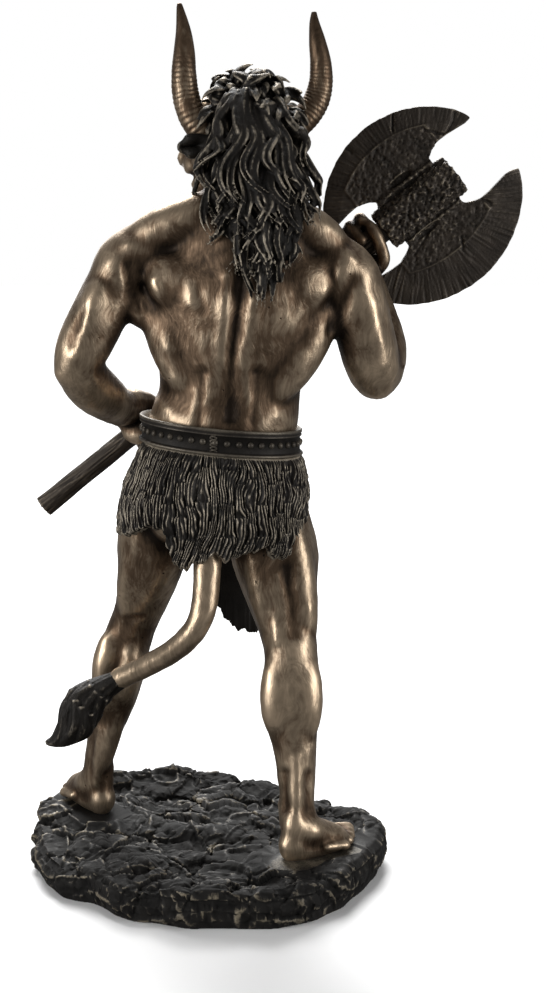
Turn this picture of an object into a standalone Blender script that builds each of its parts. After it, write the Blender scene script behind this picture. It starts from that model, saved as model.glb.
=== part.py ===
"""Minotaur statue: a horned figure that grips a two-bladed axe and stands on a rough rock base.

Blender 4.5, metres, +Z up. The figure faces -Y, its left hand is on the +X side, and the origin is the middle
of the base's underside. The figure, the axe and the rock base are cast separately and assembled.
"""

import math

import bmesh
import bpy
import numpy as np
from mathutils import Matrix, Vector, noise

# The base
BASE_WIDTH = 0.1290
BASE_DEPTH = 0.1190
BASE_THICKNESS = 0.0130
ROCK_RELIEF = 0.0030
SLAB_SIZE = 0.0150

# The figure, from its soles to the tip of its taller horn
FIGURE_HEIGHT = 0.2870

# The axe
HANDLE_RADIUS = 0.0037
BUTT_LENGTH = 0.0482
HEAD_DISTANCE = 0.0262
SOCKET_LENGTH = 0.0320
SOCKET_WIDTH = 0.0146
SOCKET_DEPTH = 0.0110
LUG_LENGTH = 0.0240
LUG_WIDTH = 0.0200
LUG_DEPTH = 0.0056
NARROW_BLADE_REACH = 0.0322
WIDE_BLADE_REACH = 0.0350
TIP_GROWTH = 0.0032
TIP_ANGLE = math.radians(70)
BLADE_THICKNESS = 0.0034
EDGE_THICKNESS = 0.0012
NARROW_BEVEL = 0.0075
WIDE_BEVEL = 0.0135
NOTCH_WIDTH = 0.0120

# Clearance between pieces that touch
GAP = 0.0003

# Fineness of the faceted solids
FIGURE_VOXEL = 0.0011
FIGURE_FACES = 7300
ROCK_SECTORS = 54
ROCK_RINGS = 9

# Every place on the figure is written in shares of its height: UNITS of them from sole to horn tip
UNITS = 287.0
UNIT = FIGURE_HEIGHT / UNITS


def place(x, y, z):
    """A point of the figure, from its three shares, standing on the base."""
    return Vector((x, y, z)) * UNIT + Vector((0, 0, BASE_THICKNESS + GAP))


# Where the two hands hold the axe, and the line of its handle
LEFT_GRIP = place(22.0, -31.6, 142.3)
RIGHT_GRIP = place(-54.9, -35.1, 204.3)
HANDLE_LINE = (RIGHT_GRIP - LEFT_GRIP).normalized()
AXE_CENTRE = RIGHT_GRIP + HANDLE_LINE * HEAD_DISTANCE
BUTT_END = LEFT_GRIP - HANDLE_LINE * BUTT_LENGTH
FACING = Vector((0, 1, 0))
BLADE_LINE = HANDLE_LINE.cross(FACING).normalized()
HEAD_NORMAL = BLADE_LINE.cross(HANDLE_LINE).normalized()


def material(name, colour, roughness, metallic):
    made = bpy.data.materials.new(name)
    made.use_nodes = True
    shader = made.node_tree.nodes["Principled BSDF"]
    shader.inputs["Base Color"].default_value = (*colour, 1)
    shader.inputs["Roughness"].default_value = roughness
    shader.inputs["Metallic"].default_value = metallic
    return made


def add_object(name, mesh, finish, smooth=True):
    mesh.name = name
    mesh.materials.clear()
    mesh.materials.append(finish)
    obj = bpy.data.objects.new(name, mesh)
    bpy.context.scene.collection.objects.link(obj)
    if smooth:
        mesh.shade_smooth()
        mesh.set_sharp_from_angle(angle=math.radians(50))
    return obj


# Modelling tools: each one adds a closed form to a bmesh

def square_to(direction, near=FACING):
    """Two unit vectors square to a direction and to each other, the first one as near as can be to another."""
    direction = direction.normalized()
    first = near - direction * near.dot(direction)
    if first.length < 1e-6:
        first = Vector((1, 0, 0)) - direction * direction.x
    first.normalize()
    return first, direction.cross(first)


def smooth_path(points, steps):
    """A Catmull-Rom curve through points of any number of values, with so many steps between each two."""
    points = [np.array(p, float) for p in points]
    ends = [2 * points[0] - points[1], *points, 2 * points[-1] - points[-2]]
    path = []
    for a, b, c, d in zip(ends, ends[1:], ends[2:], ends[3:]):
        for i in range(steps):
            t = i / steps
            path.append(
                0.5 * (2 * b + (c - a) * t + (2 * a - 5 * b + 4 * c - d) * t**2 + (3 * b - a - 3 * c + d) * t**3)
            )
    path.append(points[-1])
    return path


def skin(bm, rings):
    """A closed skin over rings of equally many points, with a cap at each end."""
    made = [[bm.verts.new(p) for p in ring] for ring in rings]
    count = len(made[0])
    for lower, upper in zip(made, made[1:]):
        for i in range(count):
            j = (i + 1) % count
            bm.faces.new((lower[i], lower[j], upper[j], upper[i]))
    bm.faces.new(list(reversed(made[0])))
    bm.faces.new(made[-1])


def limb(bm, stations, sides=12, steps=4, wide=1.0, near=FACING, tip=0.9):
    """A round form along a path of (point, radius), with round ends. Wide stretches it square to near."""
    path = smooth_path([(*p, r) for p, r in stations], steps)
    points = [Vector(p[:3]) for p in path]
    radii = [max(float(p[3]), 1e-5) for p in path]
    rings = []

    def ring(centre, direction, radius):
        deep, across = square_to(direction, near)
        turns = [2 * math.pi * i / sides for i in range(sides)]
        return [centre + deep * radius * math.cos(a) + across * radius * wide * math.sin(a) for a in turns]

    first, last = points[0] - points[1], points[-1] - points[-2]
    for reach, share in ((tip, 0.35), (tip * 0.6, 0.78)):
        rings.append(ring(points[0] + first.normalized() * radii[0] * reach, -first, radii[0] * share))
    for i, (point, radius) in enumerate(zip(points, radii)):
        before, after = points[max(i - 1, 0)], points[min(i + 1, len(points) - 1)]
        rings.append(ring(point, after - before, radius))
    for reach, share in ((tip * 0.6, 0.78), (tip, 0.35)):
        rings.append(ring(points[-1] + last.normalized() * radii[-1] * reach, last, radii[-1] * share))
    skin(bm, rings)


def blob(bm, centre, radii, towards=Vector((0, 0, 1)), near=FACING):
    """An ellipsoid: its three radii run along near, across, and towards."""
    deep, across = square_to(towards, near)
    axes = Matrix((deep, across, towards.normalized())).transposed().to_4x4()
    shape = Matrix.Translation(centre) @ axes @ Matrix.Diagonal((*radii, 1))
    bmesh.ops.create_icosphere(bm, subdivisions=3, radius=1, matrix=shape)


def spindle(bm, a, b, wide, deep, near=FACING, over=1.15):
    """A muscle: an ellipsoid that runs from a to b and a little past them."""
    blob(bm, (a + b) / 2, (deep, wide, (b - a).length / 2 * over), b - a, near)


def melted(bm, voxel, rounds, name="clay"):
    """The union of a bmesh's closed forms as one even skin, softened by so many rounds of smoothing."""
    mesh = bpy.data.meshes.new(name)
    bmesh.ops.recalc_face_normals(bm, faces=bm.faces)
    bm.to_mesh(mesh)
    bm.free()
    obj = bpy.data.objects.new(name, mesh)
    bpy.context.scene.collection.objects.link(obj)
    remesh = obj.modifiers.new("Union", "REMESH")
    remesh.mode = "VOXEL"
    remesh.voxel_size = voxel
    if rounds:
        soften = obj.modifiers.new("Soften", "SMOOTH")
        soften.factor = 0.5
        soften.iterations = rounds
    return taken(obj)


def taken(obj):
    """The mesh that an object's modifiers make, with the object removed."""
    bpy.context.view_layer.update()
    made = bpy.data.meshes.new_from_object(obj.evaluated_get(bpy.context.evaluated_depsgraph_get()))
    bpy.data.objects.remove(obj)
    return made


def coordinates(mesh, source="vertices"):
    found = np.empty(len(mesh.vertices) * 3, np.float32)
    if source == "vertices":
        mesh.vertices.foreach_get("co", found)
    else:
        mesh.vertex_normals.foreach_get("vector", found)
    return found.reshape(-1, 3).astype(float)


def distance_to(points, path):
    """How far each point is from a path of straight runs."""
    nearest = np.full(len(points), np.inf)
    for a, b in zip(path, path[1:]):
        a, b = np.array(a, float), np.array(b, float)
        run = b - a
        share = np.clip((points - a) @ run / max(run @ run, 1e-12), 0, 1)
        nearest = np.minimum(nearest, np.linalg.norm(points - a - share[:, None] * run, axis=1))
    return nearest


def tooled(mesh, strokes):
    """Works a skin with strokes of (path, width, height): a height above zero raises it, one below cuts."""
    points, normals = coordinates(mesh), coordinates(mesh, "normals")
    lift = np.zeros(len(points))
    for path, width, height in strokes:
        lift += height * np.exp(-((distance_to(points, path) / width) ** 2))
    mesh.vertices.foreach_set("co", (points + normals * lift[:, None]).astype(np.float32).ravel())
    mesh.update()
    return mesh


def join_mesh(bm, mesh):
    bm.from_mesh(mesh)
    bpy.data.meshes.remove(mesh)


# The figure

SPINE = [(-15.5, 224), (-14.0, 204), (-12.0, 190), (-10.0, 176), (-9.0, 160), (-7.0, 146)]


def u(value):
    """A length of the figure, from its share."""
    return value * UNIT


def stations(rows):
    """Places and radii of a limb, from rows of x, y, z and radius in shares."""
    return [(place(x, y, z), u(r)) for x, y, z, r in rows]


def add_trunk(bm):
    """The torso as one loft of ovals, each a row of x, y, z, half width and half depth."""
    ovals = [
        (-4.5, 2, 112, 22, 15.5), (-4.5, 2, 120, 25, 17), (-4.7, 1.5, 130, 25.5, 17.5),
        (-5.7, 0, 141, 25.4, 18.2),
        (-7.0, 0, 150, 24.6, 18.0), (-8.8, 0, 158, 24.2, 17.6), (-9.9, 0.5, 168, 25.4, 18.6),
        (-12.0, 1, 180, 29.0, 20.0), (-12.8, 1.5, 192, 31.5, 20.0), (-13.4, 2, 202, 28, 17.5),
        (-14.6, 3.5, 210, 24, 15.5), (-16.0, 2.5, 220, 17.5, 15), (-16.5, -1, 232, 14.5, 14.5),
        (-16.5, -3, 240, 10, 10),
    ]
    rings = []
    for x, y, z, half_width, half_depth in smooth_path(ovals, 3):
        turns = [2 * math.pi * i / 32 for i in range(32)]
        rings.append([place(x + half_width * math.cos(a), y + half_depth * math.sin(a), z) for a in turns])
    skin(bm, rings)


def add_back(bm):
    """The muscles of the back: columns beside the spine, lats, shoulder blades and trapezius."""
    for side in (-1, 1):
        column = [(-11.0 + side * 6.5, 15.5, 192, 5.5), (-9.6 + side * 6.5, 14.5, 176, 5.5)]
        column += [(-8.6 + side * 6.5, 13.0, 160, 5.6), (-6.5 + side * 7, 13.0, 146, 5.6)]
        limb(bm, stations(column))
    spindle(bm, place(15, 6, 194), place(3, 11.5, 160), u(8.2), u(7.0))
    spindle(bm, place(-41.5, 5, 193), place(-25, 11.5, 161), u(9.0), u(7.2))
    spindle(bm, place(15, 10.5, 199), place(-3, 14, 190), u(8.5), u(7.0))
    spindle(bm, place(-40, 10.5, 197), place(-23, 14, 189), u(8.5), u(7.0))
    spindle(bm, place(20, 9.5, 190), place(10, 13, 184), u(5.5), u(5.0))
    spindle(bm, place(-46, 8.5, 188), place(-34, 13, 183), u(5.5), u(5.0))
    spindle(bm, place(-13.5, 13, 222), place(-11, 17, 186), u(11), u(7))
    spindle(bm, place(-12, 8, 222.5), place(25, 4.5, 208), u(8), u(8))
    spindle(bm, place(-20, 8, 221), place(-47, 5, 206.5), u(8), u(8))
    spindle(bm, place(-16, 6, 236), place(-16, 8, 214), u(14), u(12))


def add_front(bm):
    """The chest, belly and flanks."""
    for centre, outer in ((1.5, 20), (-27.5, -45)):
        spindle(bm, place(centre, -13, 190), place(outer, -9, 197), u(11), u(8))
        blob(bm, place(centre, -13.5, 189), (u(8), u(13), u(9)))
    for x, outward in ((11.5, 1), (-26, -1)):
        blob(bm, place(x, -1, 152), (u(15), u(7.4), u(6.5)))
        spindle(bm, place(x + outward * 3, -9, 180), place(x, -9, 158), u(5.6), u(7))
    for row in range(4):
        for side in (-1, 1):
            blob(bm, place(-9.5 + row * -0.8 + side * 5, -15.5, 150 + row * 9.5), (u(5), u(5.2), u(5.2)))


def add_arms(bm):
    left = [
        (16, 3, 206, 9), (23.6, 2.5, 204.5, 9.4), (30.4, 3, 193, 9.7), (35.6, 4.5, 183, 9.8),
        (40.4, 6, 173.5, 9.4), (43.2, 6, 166.5, 8.0),
    ]
    limb(bm, stations(left))
    blob(bm, place(27.6, 1.5, 199), (u(11.6), u(10.0), u(13.8)), place(40, 6, 165) - place(24, 2, 204))
    blob(bm, place(21.0, 3, 187), (u(8), u(5), u(7.5)))
    blob(bm, place(-42.5, 3, 182.5), (u(7.5), u(4.6), u(6.5)))
    spindle(bm, place(33, 9, 196), place(40, 10, 172), u(6.5), u(6))
    spindle(bm, place(30, -3, 192), place(36, 0, 174), u(7), u(6.5))
    blob(bm, place(45.6, 8, 166), (u(4.5), u(4.5), u(5)))
    left_fore = [
        (42.2, 5, 166.5, 8.4), (38.8, -2, 159.5, 8.8), (34.6, -10, 154.4, 8.2), (31.4, -17, 150.6, 7.0),
        (27.4, -24, 148.6, 6.2),
    ]
    limb(bm, stations(left_fore))
    spindle(bm, place(42, 0, 163), place(34, -14, 150), u(6.5), u(6))
    right = [
        (-40, 3, 202, 9.5), (-47, 2, 199.5, 10.4), (-51.4, 2, 190, 10.4), (-54.2, 0, 179.6, 10.2),
        (-56.8, -2, 169.6, 10.0), (-58.8, -5, 162.6, 9.0),
    ]
    limb(bm, stations(right))
    blob(bm, place(-49.4, 1.5, 195), (u(11.8), u(11.0), u(13.6)), place(-58, -4, 165) - place(-48, 2, 203))
    spindle(bm, place(-52.5, 7, 190), place(-57, 2.5, 168), u(7), u(6))
    blob(bm, place(-59.4, -2, 159.6), (u(5), u(5.5), u(5)))
    right_fore = [
        (-59.5, -6, 163.0, 8.8), (-62.0, -14, 170.0, 8.4), (-61.4, -21, 178.6, 7.1), (-59.2, -25.2, 187.4, 5.9),
        (-57.2, -27.8, 195.0, 5.3),
    ]
    limb(bm, stations(right_fore))
    spindle(bm, place(-64, -10, 166), place(-62, -21, 181), u(6), u(6))


def add_leg(bm, rows, muscles, bones):
    """One leg: its limb, then the muscles of calf and thigh as spindles, and the bones at knee and ankle."""
    limb(bm, stations(rows), steps=5)
    for a, b, wide, deep in muscles:
        spindle(bm, place(*a), place(*b), u(wide), u(deep))
    for centre, radius in bones:
        blob(bm, place(*centre), (u(radius),) * 3)


def add_legs(bm):
    left = [
        (11.6, -1, 128, 12.6), (13.8, -2, 118.3, 13.8), (17.8, -5, 105.2, 13.5), (19.9, -7, 94.0, 11.6),
        (22.9, -10, 82.4, 9.5), (25.8, -13, 74.3, 8.6), (29.3, -14.5, 64.5, 9.0), (31.5, -14, 55.0, 9.2),
        (33.6, -15, 45.0, 8.2), (36.2, -17, 36.1, 6.9), (39.0, -18.5, 26.3, 5.8), (40.4, -19.5, 19.1, 5.5),
        (41.0, -20, 9.9, 5.6),
    ]
    left_muscles = [
        ((26.4, -9.5, 70), (30.8, -10, 44), 6.0, 5.8), ((34.2, -9.5, 70), (37.0, -11, 42), 6.0, 5.4),
        ((31, -10, 48), (39, -14.5, 16), 4.0, 3.6), ((10, 4, 118), (23, -5, 80), 7.5, 7.0),
        ((21, 3, 116), (28, -7, 78), 6.0, 6.0), ((21, -14, 116), (25, -19, 84), 9.0, 6.5),
    ]
    add_leg(bm, left, left_muscles, [((26.5, -20.5, 72), 5.2), ((44.6, -19.5, 14.5), 2.6), ((36.6, -20, 16), 2.5)])
    right = [
        (-19.0, 0, 129, 13.0), (-21.0, 0, 118.6, 14.2), (-24.2, 3, 101.6, 15.4), (-25.9, 6, 91.4, 13.4),
        (-27.7, 9, 81.5, 11.0), (-28.7, 12, 75.2, 9.8), (-29.8, 14, 69.7, 9.4), (-29.7, 15.5, 59.2, 10.0),
        (-29.9, 16, 52.4, 10.0), (-30.2, 17, 44.5, 9.0), (-31.1, 18.5, 37.0, 7.8), (-31.6, 20, 26.6, 6.8),
        (-31.8, 21, 19.7, 6.2), (-31.2, 22, 11.5, 6.2),
    ]
    right_muscles = [
        ((-25.6, 18, 70), (-24.8, 21, 43), 6.4, 6.0), ((-34.0, 18, 70), (-35.0, 21, 42), 6.4, 5.8),
        ((-29.8, 20, 48), (-31.5, 25.5, 14), 4.2, 3.8), ((-16, 9, 116), (-24.6, 14, 74), 6.8, 6.5),
        ((-29, 10, 116), (-34.5, 14, 72), 6.8, 6.5), ((-27, -6, 114), (-29, 2, 82), 10.0, 7),
    ]
    add_leg(bm, right, right_muscles, [((-30.5, 6.5, 73), 5.4), ((-27.2, 19, 17), 2.6), ((-36.2, 21.5, 15), 2.6)])
    for x, z in ((8.5, 118), (-18.5, 117)):
        blob(bm, place(x, 9.5, z), (u(11.5), u(11.5), u(12)))


def add_foot(bm, heel, toe, inner):
    """A bare foot from the back of its heel to its longest toe. Inner is +1 where the big toe is to the left."""
    length = (toe - heel).length
    forward = (toe - heel).normalized()
    up = Vector((0, 0, 1))
    side = up.cross(forward) * inner

    def spot(along, across, height):
        return heel + (forward * along + side * across + up * height) * length

    blob(bm, spot(0.15, 0, 0.13), (length * 0.15, length * 0.135, length * 0.17), up, forward)
    blob(bm, spot(0.17, 0, 0.30), (length * 0.13, length * 0.125, length * 0.18), up, forward)
    instep = [(0.26, 0.0, 0.27, 0.155), (0.45, 0.02, 0.17, 0.150), (0.66, 0.0, 0.095, 0.125)]
    sole = [(0.16, 0.0, 0.075, 0.10), (0.42, -0.03, 0.07, 0.10), (0.70, 0.0, 0.07, 0.10)]
    for rows, wide in ((instep, 1.2), (sole, 1.3)):
        limb(bm, [(spot(*row[:3]), length * row[3]) for row in rows], wide=wide, near=up)
    for i in range(5):
        across = 0.150 - 0.078 * i
        reach = 0.955 - 0.020 * i - 0.012 * i * i
        radius = length * (0.068 if i == 0 else 0.052 - 0.002 * i)
        knuckle = spot(reach - 0.20, across * 0.95, 0.085)
        limb(bm, [(knuckle, radius), (spot(reach - 0.06, across, 0.062), radius * 0.95)], sides=8, steps=2)


LEFT_FOOT = (place(36.5, -13.5, 0), place(56.5, -47.5, 0), -1)
RIGHT_FOOT = (place(-26.0, 30.0, 0), place(-55.5, 7.5, 0), 1)


def add_fist(bm, grip, back, size=1.0):
    """A hand closed round the handle, thumb towards the axe head. Back is the way its back faces."""
    finger = u(2.6) * size
    back = (back - HANDLE_LINE * back.dot(HANDLE_LINE)).normalized()
    over = -BLADE_LINE
    over = (over - back * over.dot(back)).normalized()
    reach = HANDLE_RADIUS + finger * 0.82

    def around(slide, degrees, out):
        angle = math.radians(degrees)
        return grip + HANDLE_LINE * slide + (back * math.cos(angle) + over * math.sin(angle)) * out

    for slide, degrees, wide, long in ((-u(0.6), -8, 3.0, u(8.4)), (u(1.2), -62, 1.9, u(7.0))):
        palm = around(slide, degrees, HANDLE_RADIUS + finger * 0.95)
        blob(bm, palm, (finger * 1.5, finger * wide, long * size), HANDLE_LINE, back)
    for i in range(4):
        slide = (1.42 - i) * u(4.0) * size
        thick = finger * (1.0, 1.04, 0.98, 0.86)[i]
        arc = []
        for step in range(9):
            joint = thick * 0.3 if step in (2, 5) else 0
            arc.append((around(slide, 14 + 28 * step, reach + joint), thick))
        limb(bm, arc, sides=8, steps=1)
        blob(bm, around(slide, 46, reach + thick * 0.5), (thick * 1.1,) * 3)
    thumb = []
    for step in range(6):
        spot = around(u(4.6 + 0.5 * step) * size, -58 - 26 * step, reach + finger * 0.35)
        thumb.append((spot, finger * (1.3 - 0.06 * step)))
    limb(bm, thumb, sides=8, steps=2)


def add_tail(bm):
    rows = [
        (-2.5, 12, 122, 5.6), (-2.0, 16.5, 113, 5.4), (-1.6, 19.5, 104, 5.1), (-1.2, 22, 95, 4.9),
        (-0.4, 23.5, 88.0, 4.7), (1.8, 24, 81.7, 4.5), (5.6, 22.5, 76.5, 4.4), (10.8, 19, 71.2, 4.3),
        (16.8, 14.5, 66.6, 4.2), (23.4, 9.5, 61.8, 4.1), (30.3, 5, 57.6, 4.2),
    ]
    limb(bm, stations(rows), steps=5)


def add_tuft(bm):
    """The brush at the end of the tail, a bundle of locks that swell and then draw together in a hooked point."""
    spine = [
        (30, 5.2, 57.4, 3.6), (37, 4, 53.3, 4.6), (42.0, 4, 48.8, 6.0), (45.0, 5, 43.4, 6.0), (48.0, 6.5, 38.8, 4.0),
        (51.6, 8, 36.0, 2.2), (55.2, 9, 35.4, 1.0),
    ]
    limb(bm, stations(spine))
    for i in range(9):
        turn = 2 * math.pi * i / 9
        lock = []
        for j, (x, y, z, r) in enumerate(spine):
            swirl = turn + 0.3 * j
            out = r * 0.95
            thick = (1.0, 1.9, 2.3, 2.2, 1.6, 1.0, 0.5)[j]
            across, around, up = 0.72 * math.cos(swirl), math.sin(swirl), 0.62 * math.cos(swirl)
            lock.append((x + out * across, y + out * around, z + out * up, thick))
        limb(bm, stations(lock), sides=6, steps=2)


HEAD = place(-16.5, -8.0, 243.5)
TURN = math.radians(33)
TILT = math.radians(0)
HEAD_AXES = Matrix.Rotation(TURN, 3, "Z") @ Matrix.Rotation(TILT, 3, "Y")


def head_place(left, forward, up):
    """A point of the head, from shares measured from its middle along its own axes."""
    return HEAD + HEAD_AXES @ (Vector((left, -forward, up)) * UNIT)


def head_stations(rows):
    return [(head_place(l, f, h), u(r)) for l, f, h, r in rows]


def add_head(bm):
    """A bull's head: broad skull, short thick nose, square muzzle, brows, cheeks, jaw and nostrils."""
    ahead = head_place(0, 1, 0) - head_place(0, 0, 0)
    rise = head_place(0, 0, 1) - head_place(0, 0, 0)
    blob(bm, head_place(0, -1, 2), (u(13.5), u(14), u(14)), rise, ahead)
    nose = [(0, 2, 4, 13.0), (0, 10, 1, 11.6), (0, 18, -4, 9.8), (0, 24, -8.5, 9.0), (0, 26.5, -11, 8.6)]
    limb(bm, head_stations(nose), near=rise, wide=1.0)
    blob(bm, head_place(0, 27.6, -12.6), (u(6.4), u(10.2), u(7.4)), rise, ahead)
    jaw = [(0, 0, -9, 10.5), (0, 11, -13.5, 9.0), (0, 21, -18, 7.0), (0, 25, -19.5, 6.0)]
    limb(bm, head_stations(jaw), near=rise)
    for side in (-1, 1):
        brow = [(side * 3, 15.5, 8.5, 2.6), (side * 8, 13, 9.6, 3.4), (side * 12.5, 6.5, 7.5, 2.8)]
        limb(bm, head_stations(brow), sides=8)
        blob(bm, head_place(side * 9.8, 11.8, 2.6), (u(2.9),) * 3)
        blob(bm, head_place(side * 9.6, 4, -6), (u(10), u(5.4), u(8.0)), rise, ahead)
        ridge = [(side * 10, 10, -2.0, 2.2), (side * 8.6, 17, -5.0, 2.1), (side * 7.8, 22, -8.0, 2.0)]
        limb(bm, head_stations(ridge), sides=8)
        blob(bm, head_place(side * 6.0, 32.4, -10.2), (u(2.8), u(3.3), u(2.6)), rise, ahead)


def add_ears(bm):
    """Broad ears that stand out sideways below the horns, hollowed towards the back."""
    for side in (-1, 1):
        root, tip = head_place(side * 11.5, 5, -3.5), head_place(side * 25.2, 3.2, -3.0)
        path = [(root, u(2.2)), (root.lerp(tip, 0.35), u(3.3)), (root.lerp(tip, 0.7), u(3.6)), (tip, u(2.0))]
        limb(bm, path, wide=1.3, near=head_place(0, 1, 0) - HEAD, sides=10)


def horn_rows():
    """Each horn's path, left then right, in shares of the figure."""
    left = [
        (-5.5, -4, 238.0, 4.6), (-0.6, -3.2, 243.8, 4.7), (3.6, -3, 250.4, 4.6), (5.6, -4, 257.2, 4.4),
        (6.1, -5, 264.0, 4.1), (6.0, -6.5, 270.5, 3.6), (6.3, -8.5, 277.5, 2.6), (7.5, -10.5, 285.2, 1.2),
        (7.7, -10.8, 286.2, 0.9),
    ]
    right = [
        (-27.5, -10, 244.5, 4.5), (-33.4, -10.4, 248.6, 4.6), (-37.8, -11, 254.5, 4.4), (-39.6, -11.5, 260.8, 4.0),
        (-39.6, -12, 267.4, 3.6), (-38.5, -12.5, 274.2, 2.9), (-37.5, -14, 280.4, 1.8), (-37.3, -15, 284.2, 0.9),
    ]
    return left, right


def add_horns(bm):
    for rows in horn_rows():
        limb(bm, stations(rows), sides=14, steps=4)


def nape_point(across, z, out):
    """A point on the fall of hair: across from -1 to 1, at a height in shares, and lifted out by a share."""
    t = (z - 190) / 70
    middle = -17.6 + 0.6 * t
    half = float(np.interp(z, [190, 200, 212, 224, 236, 248, 262], [4, 11, 17.5, 19.5, 18, 17, 12]))
    back = float(np.interp(z, [190, 200, 212, 224, 236, 248, 262], [22.5, 22, 20, 16.5, 13, 11, 7.5]))
    round_off = float(np.interp(z, [190, 212, 230, 262], [3, 6, 11, 12]))
    x = middle + across * (half + out * 0.5)
    y = back + out - round_off * across**2
    return x, y, z


def lock_rows(start, end, fatness, wave, phase, out):
    """A wavy lock of hair over the nape, between two places of (across, z), tapering to a curled tip."""
    rows = []
    steps = 7
    for i in range(steps + 1):
        t = i / steps
        across = start[0] + (end[0] - start[0]) * t + wave * math.sin(phase + 5.2 * t) * (0.3 + 0.7 * t)
        z = start[1] + (end[1] - start[1]) * t
        lift = out + 1.8 * math.sin(phase * 1.7 + 4.0 * t) * t + (1.6 * t**3)
        x, y, z = nape_point(across, z, lift)
        swell = math.sin(math.pi * min(t * 0.75 + 0.25, 1.0)) ** 0.8
        rows.append((x, y, z, max(fatness * swell, 0.45)))
    return rows


def mane_locks():
    """Four overlapping tiers of locks, each row of hair a little higher and further out than the last."""
    rng = np.random.default_rng(7)
    locks = []
    tiers = [(9, 222, 198, 0.85, 0.6), (11, 232, 208, 1.0, 1.3), (11, 244, 219, 1.0, 2.1), (10, 257, 230, 0.95, 2.7)]
    for count, top, bottom, spread, out in tiers:
        for i in range(count):
            share = (i + 0.5) / count * 2 - 1
            top_across = share * 0.8 * spread
            end_across = share * spread + rng.uniform(-0.09, 0.09)
            end = bottom + 9.0 * share**2 + rng.uniform(-4.0, 2.5)
            if top < 230:
                end_across *= 0.75
            fatness = 2.6 + rng.uniform(-0.3, 0.5)
            locks.append(lock_rows((top_across, top), (end_across, end), fatness, 0.12, rng.uniform(0, 6.3), out))
    for top, bottom, reach in ((242, 222, -1.1), (236, 219, -1.0), (234, 214, 1.0)):
        locks.append(lock_rows((reach * 0.85, top), (reach, bottom), 2.9, 0.04, 1.0, 1.5))
    return locks


def crown_place(turn, polar, out):
    """A point of the mop of hair on the head, a squarish dome: a turn round it and an angle down from its top."""
    across, forward, up = math.sin(polar) * math.cos(turn), math.sin(polar) * math.sin(turn), math.cos(polar)
    square = sum(abs(part / half) ** 2.3 for part, half in ((across, 15.0), (forward, 15.0), (up, 17.6)))
    size = square ** (-1 / 2.3) + out
    return head_place(across * size + 1.5, forward * size - 1, up * size + 2)


def crown_locks():
    """Thick curls that spring from the top of the head and tumble over its sides, brow and nape."""
    rng = np.random.default_rng(19)
    locks = []
    for count, start, end, fatness, lift in ((5, 6, 44, 2.6, 0.7), (9, 26, 68, 2.8, 1.2), (13, 48, 96, 2.8, 1.2)):
        for i in range(count):
            turn = 2 * math.pi * (i + 0.5 * (count % 2)) / count + rng.uniform(-0.15, 0.15)
            spin = rng.choice((-1.0, 1.0)) * rng.uniform(0.25, 0.55)
            rows = []
            for j in range(7):
                t = j / 6
                polar = math.radians(start + (end - start) * t)
                swing = turn + spin * math.sin(math.pi * 1.3 * t)
                out = lift + 1.4 * math.sin(math.pi * t) + 1.6 * t**3
                swell = max(fatness * math.sin(math.pi * (0.2 + 0.72 * t)), 0.7)
                rows.append((crown_place(swing, polar, out), u(swell)))
            locks.append(rows)
    return locks


def add_mane(bm):
    fall = [
        (-16.5, -2, 252, 12, 9), (-17.0, -1, 242, 14.5, 10.5), (-17.9, 1, 232, 17.0, 9.6),
        (-18.2, 5, 222, 17.4, 8.8), (-17.5, 10, 212, 14, 6.8), (-17.6, 15, 203, 9, 4.2), (-17.6, 18, 196, 4, 2),
    ]
    rings = []
    for x, y, z, half_width, half_depth in smooth_path(fall, 2):
        turns = [2 * math.pi * i / 20 for i in range(20)]
        rings.append([place(x + half_width * math.cos(a), y + half_depth * math.sin(a), z) for a in turns])
    skin(bm, rings)
    dome = []
    for degrees in (6, 22, 38, 54, 70, 86, 102):
        dome.append([crown_place(2 * math.pi * i / 20, math.radians(degrees), -0.6) for i in range(20)])
    skin(bm, dome)
    for rows in mane_locks():
        limb(bm, stations(rows), sides=6, steps=2)
    for rows in crown_locks():
        limb(bm, rows, sides=6, steps=2)


# The belt and the fur loincloth

BELT_MIDDLE = (-5.7, 0.3, 143.6)
BELT_TILT = 0.095
BELT_HALF = (26.9, 20.2)
BELT_HEIGHT = 9.4


def waist_point(turn, grow, z):
    """A point round the waist: its turn from the left by way of the back, grown outwards, z from the middle."""
    x, y, middle = BELT_MIDDLE
    a, b = BELT_HALF
    across = (a + grow) * math.cos(turn)
    return place(x + across, y + (b + grow) * math.sin(turn), middle + BELT_TILT * across + z)


def add_belt(bm, sides=48):
    """A band with a raised rim along both edges, swept round the waist."""
    half = BELT_HEIGHT / 2
    profile = [(-3.0, -half), (1.4, -half), (1.9, -half + 0.8), (1.4, -half + 1.7), (0.5, -half + 2.2)]
    profile += [(0.5, half - 2.2), (1.4, half - 1.7), (1.9, half - 0.8), (1.4, half), (-3.0, half)]
    rings = []
    for i in range(sides):
        turn = 2 * math.pi * i / sides
        rings.append([bm.verts.new(waist_point(turn, grow, z)) for grow, z in profile])
    for i in range(sides):
        here, there = rings[i], rings[(i + 1) % sides]
        for j in range(len(profile)):
            k = (j + 1) % len(profile)
            bm.faces.new((here[j], here[k], there[k], there[j]))


HEM = [
    (0, 111), (25, 112), (45, 116.5), (62, 112), (72, 101.5), (82, 103.5), (95, 105.5), (112, 106),
    (122, 108), (138, 103.5), (152, 106), (165, 114), (180, 121), (203, 119), (211, 106), (217, 88),
    (222, 78), (230, 71.5), (240, 67.5), (250, 66.5), (260, 70), (268, 77), (275, 87), (282, 106),
    (290, 117), (335, 115), (360, 111),
]


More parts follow.
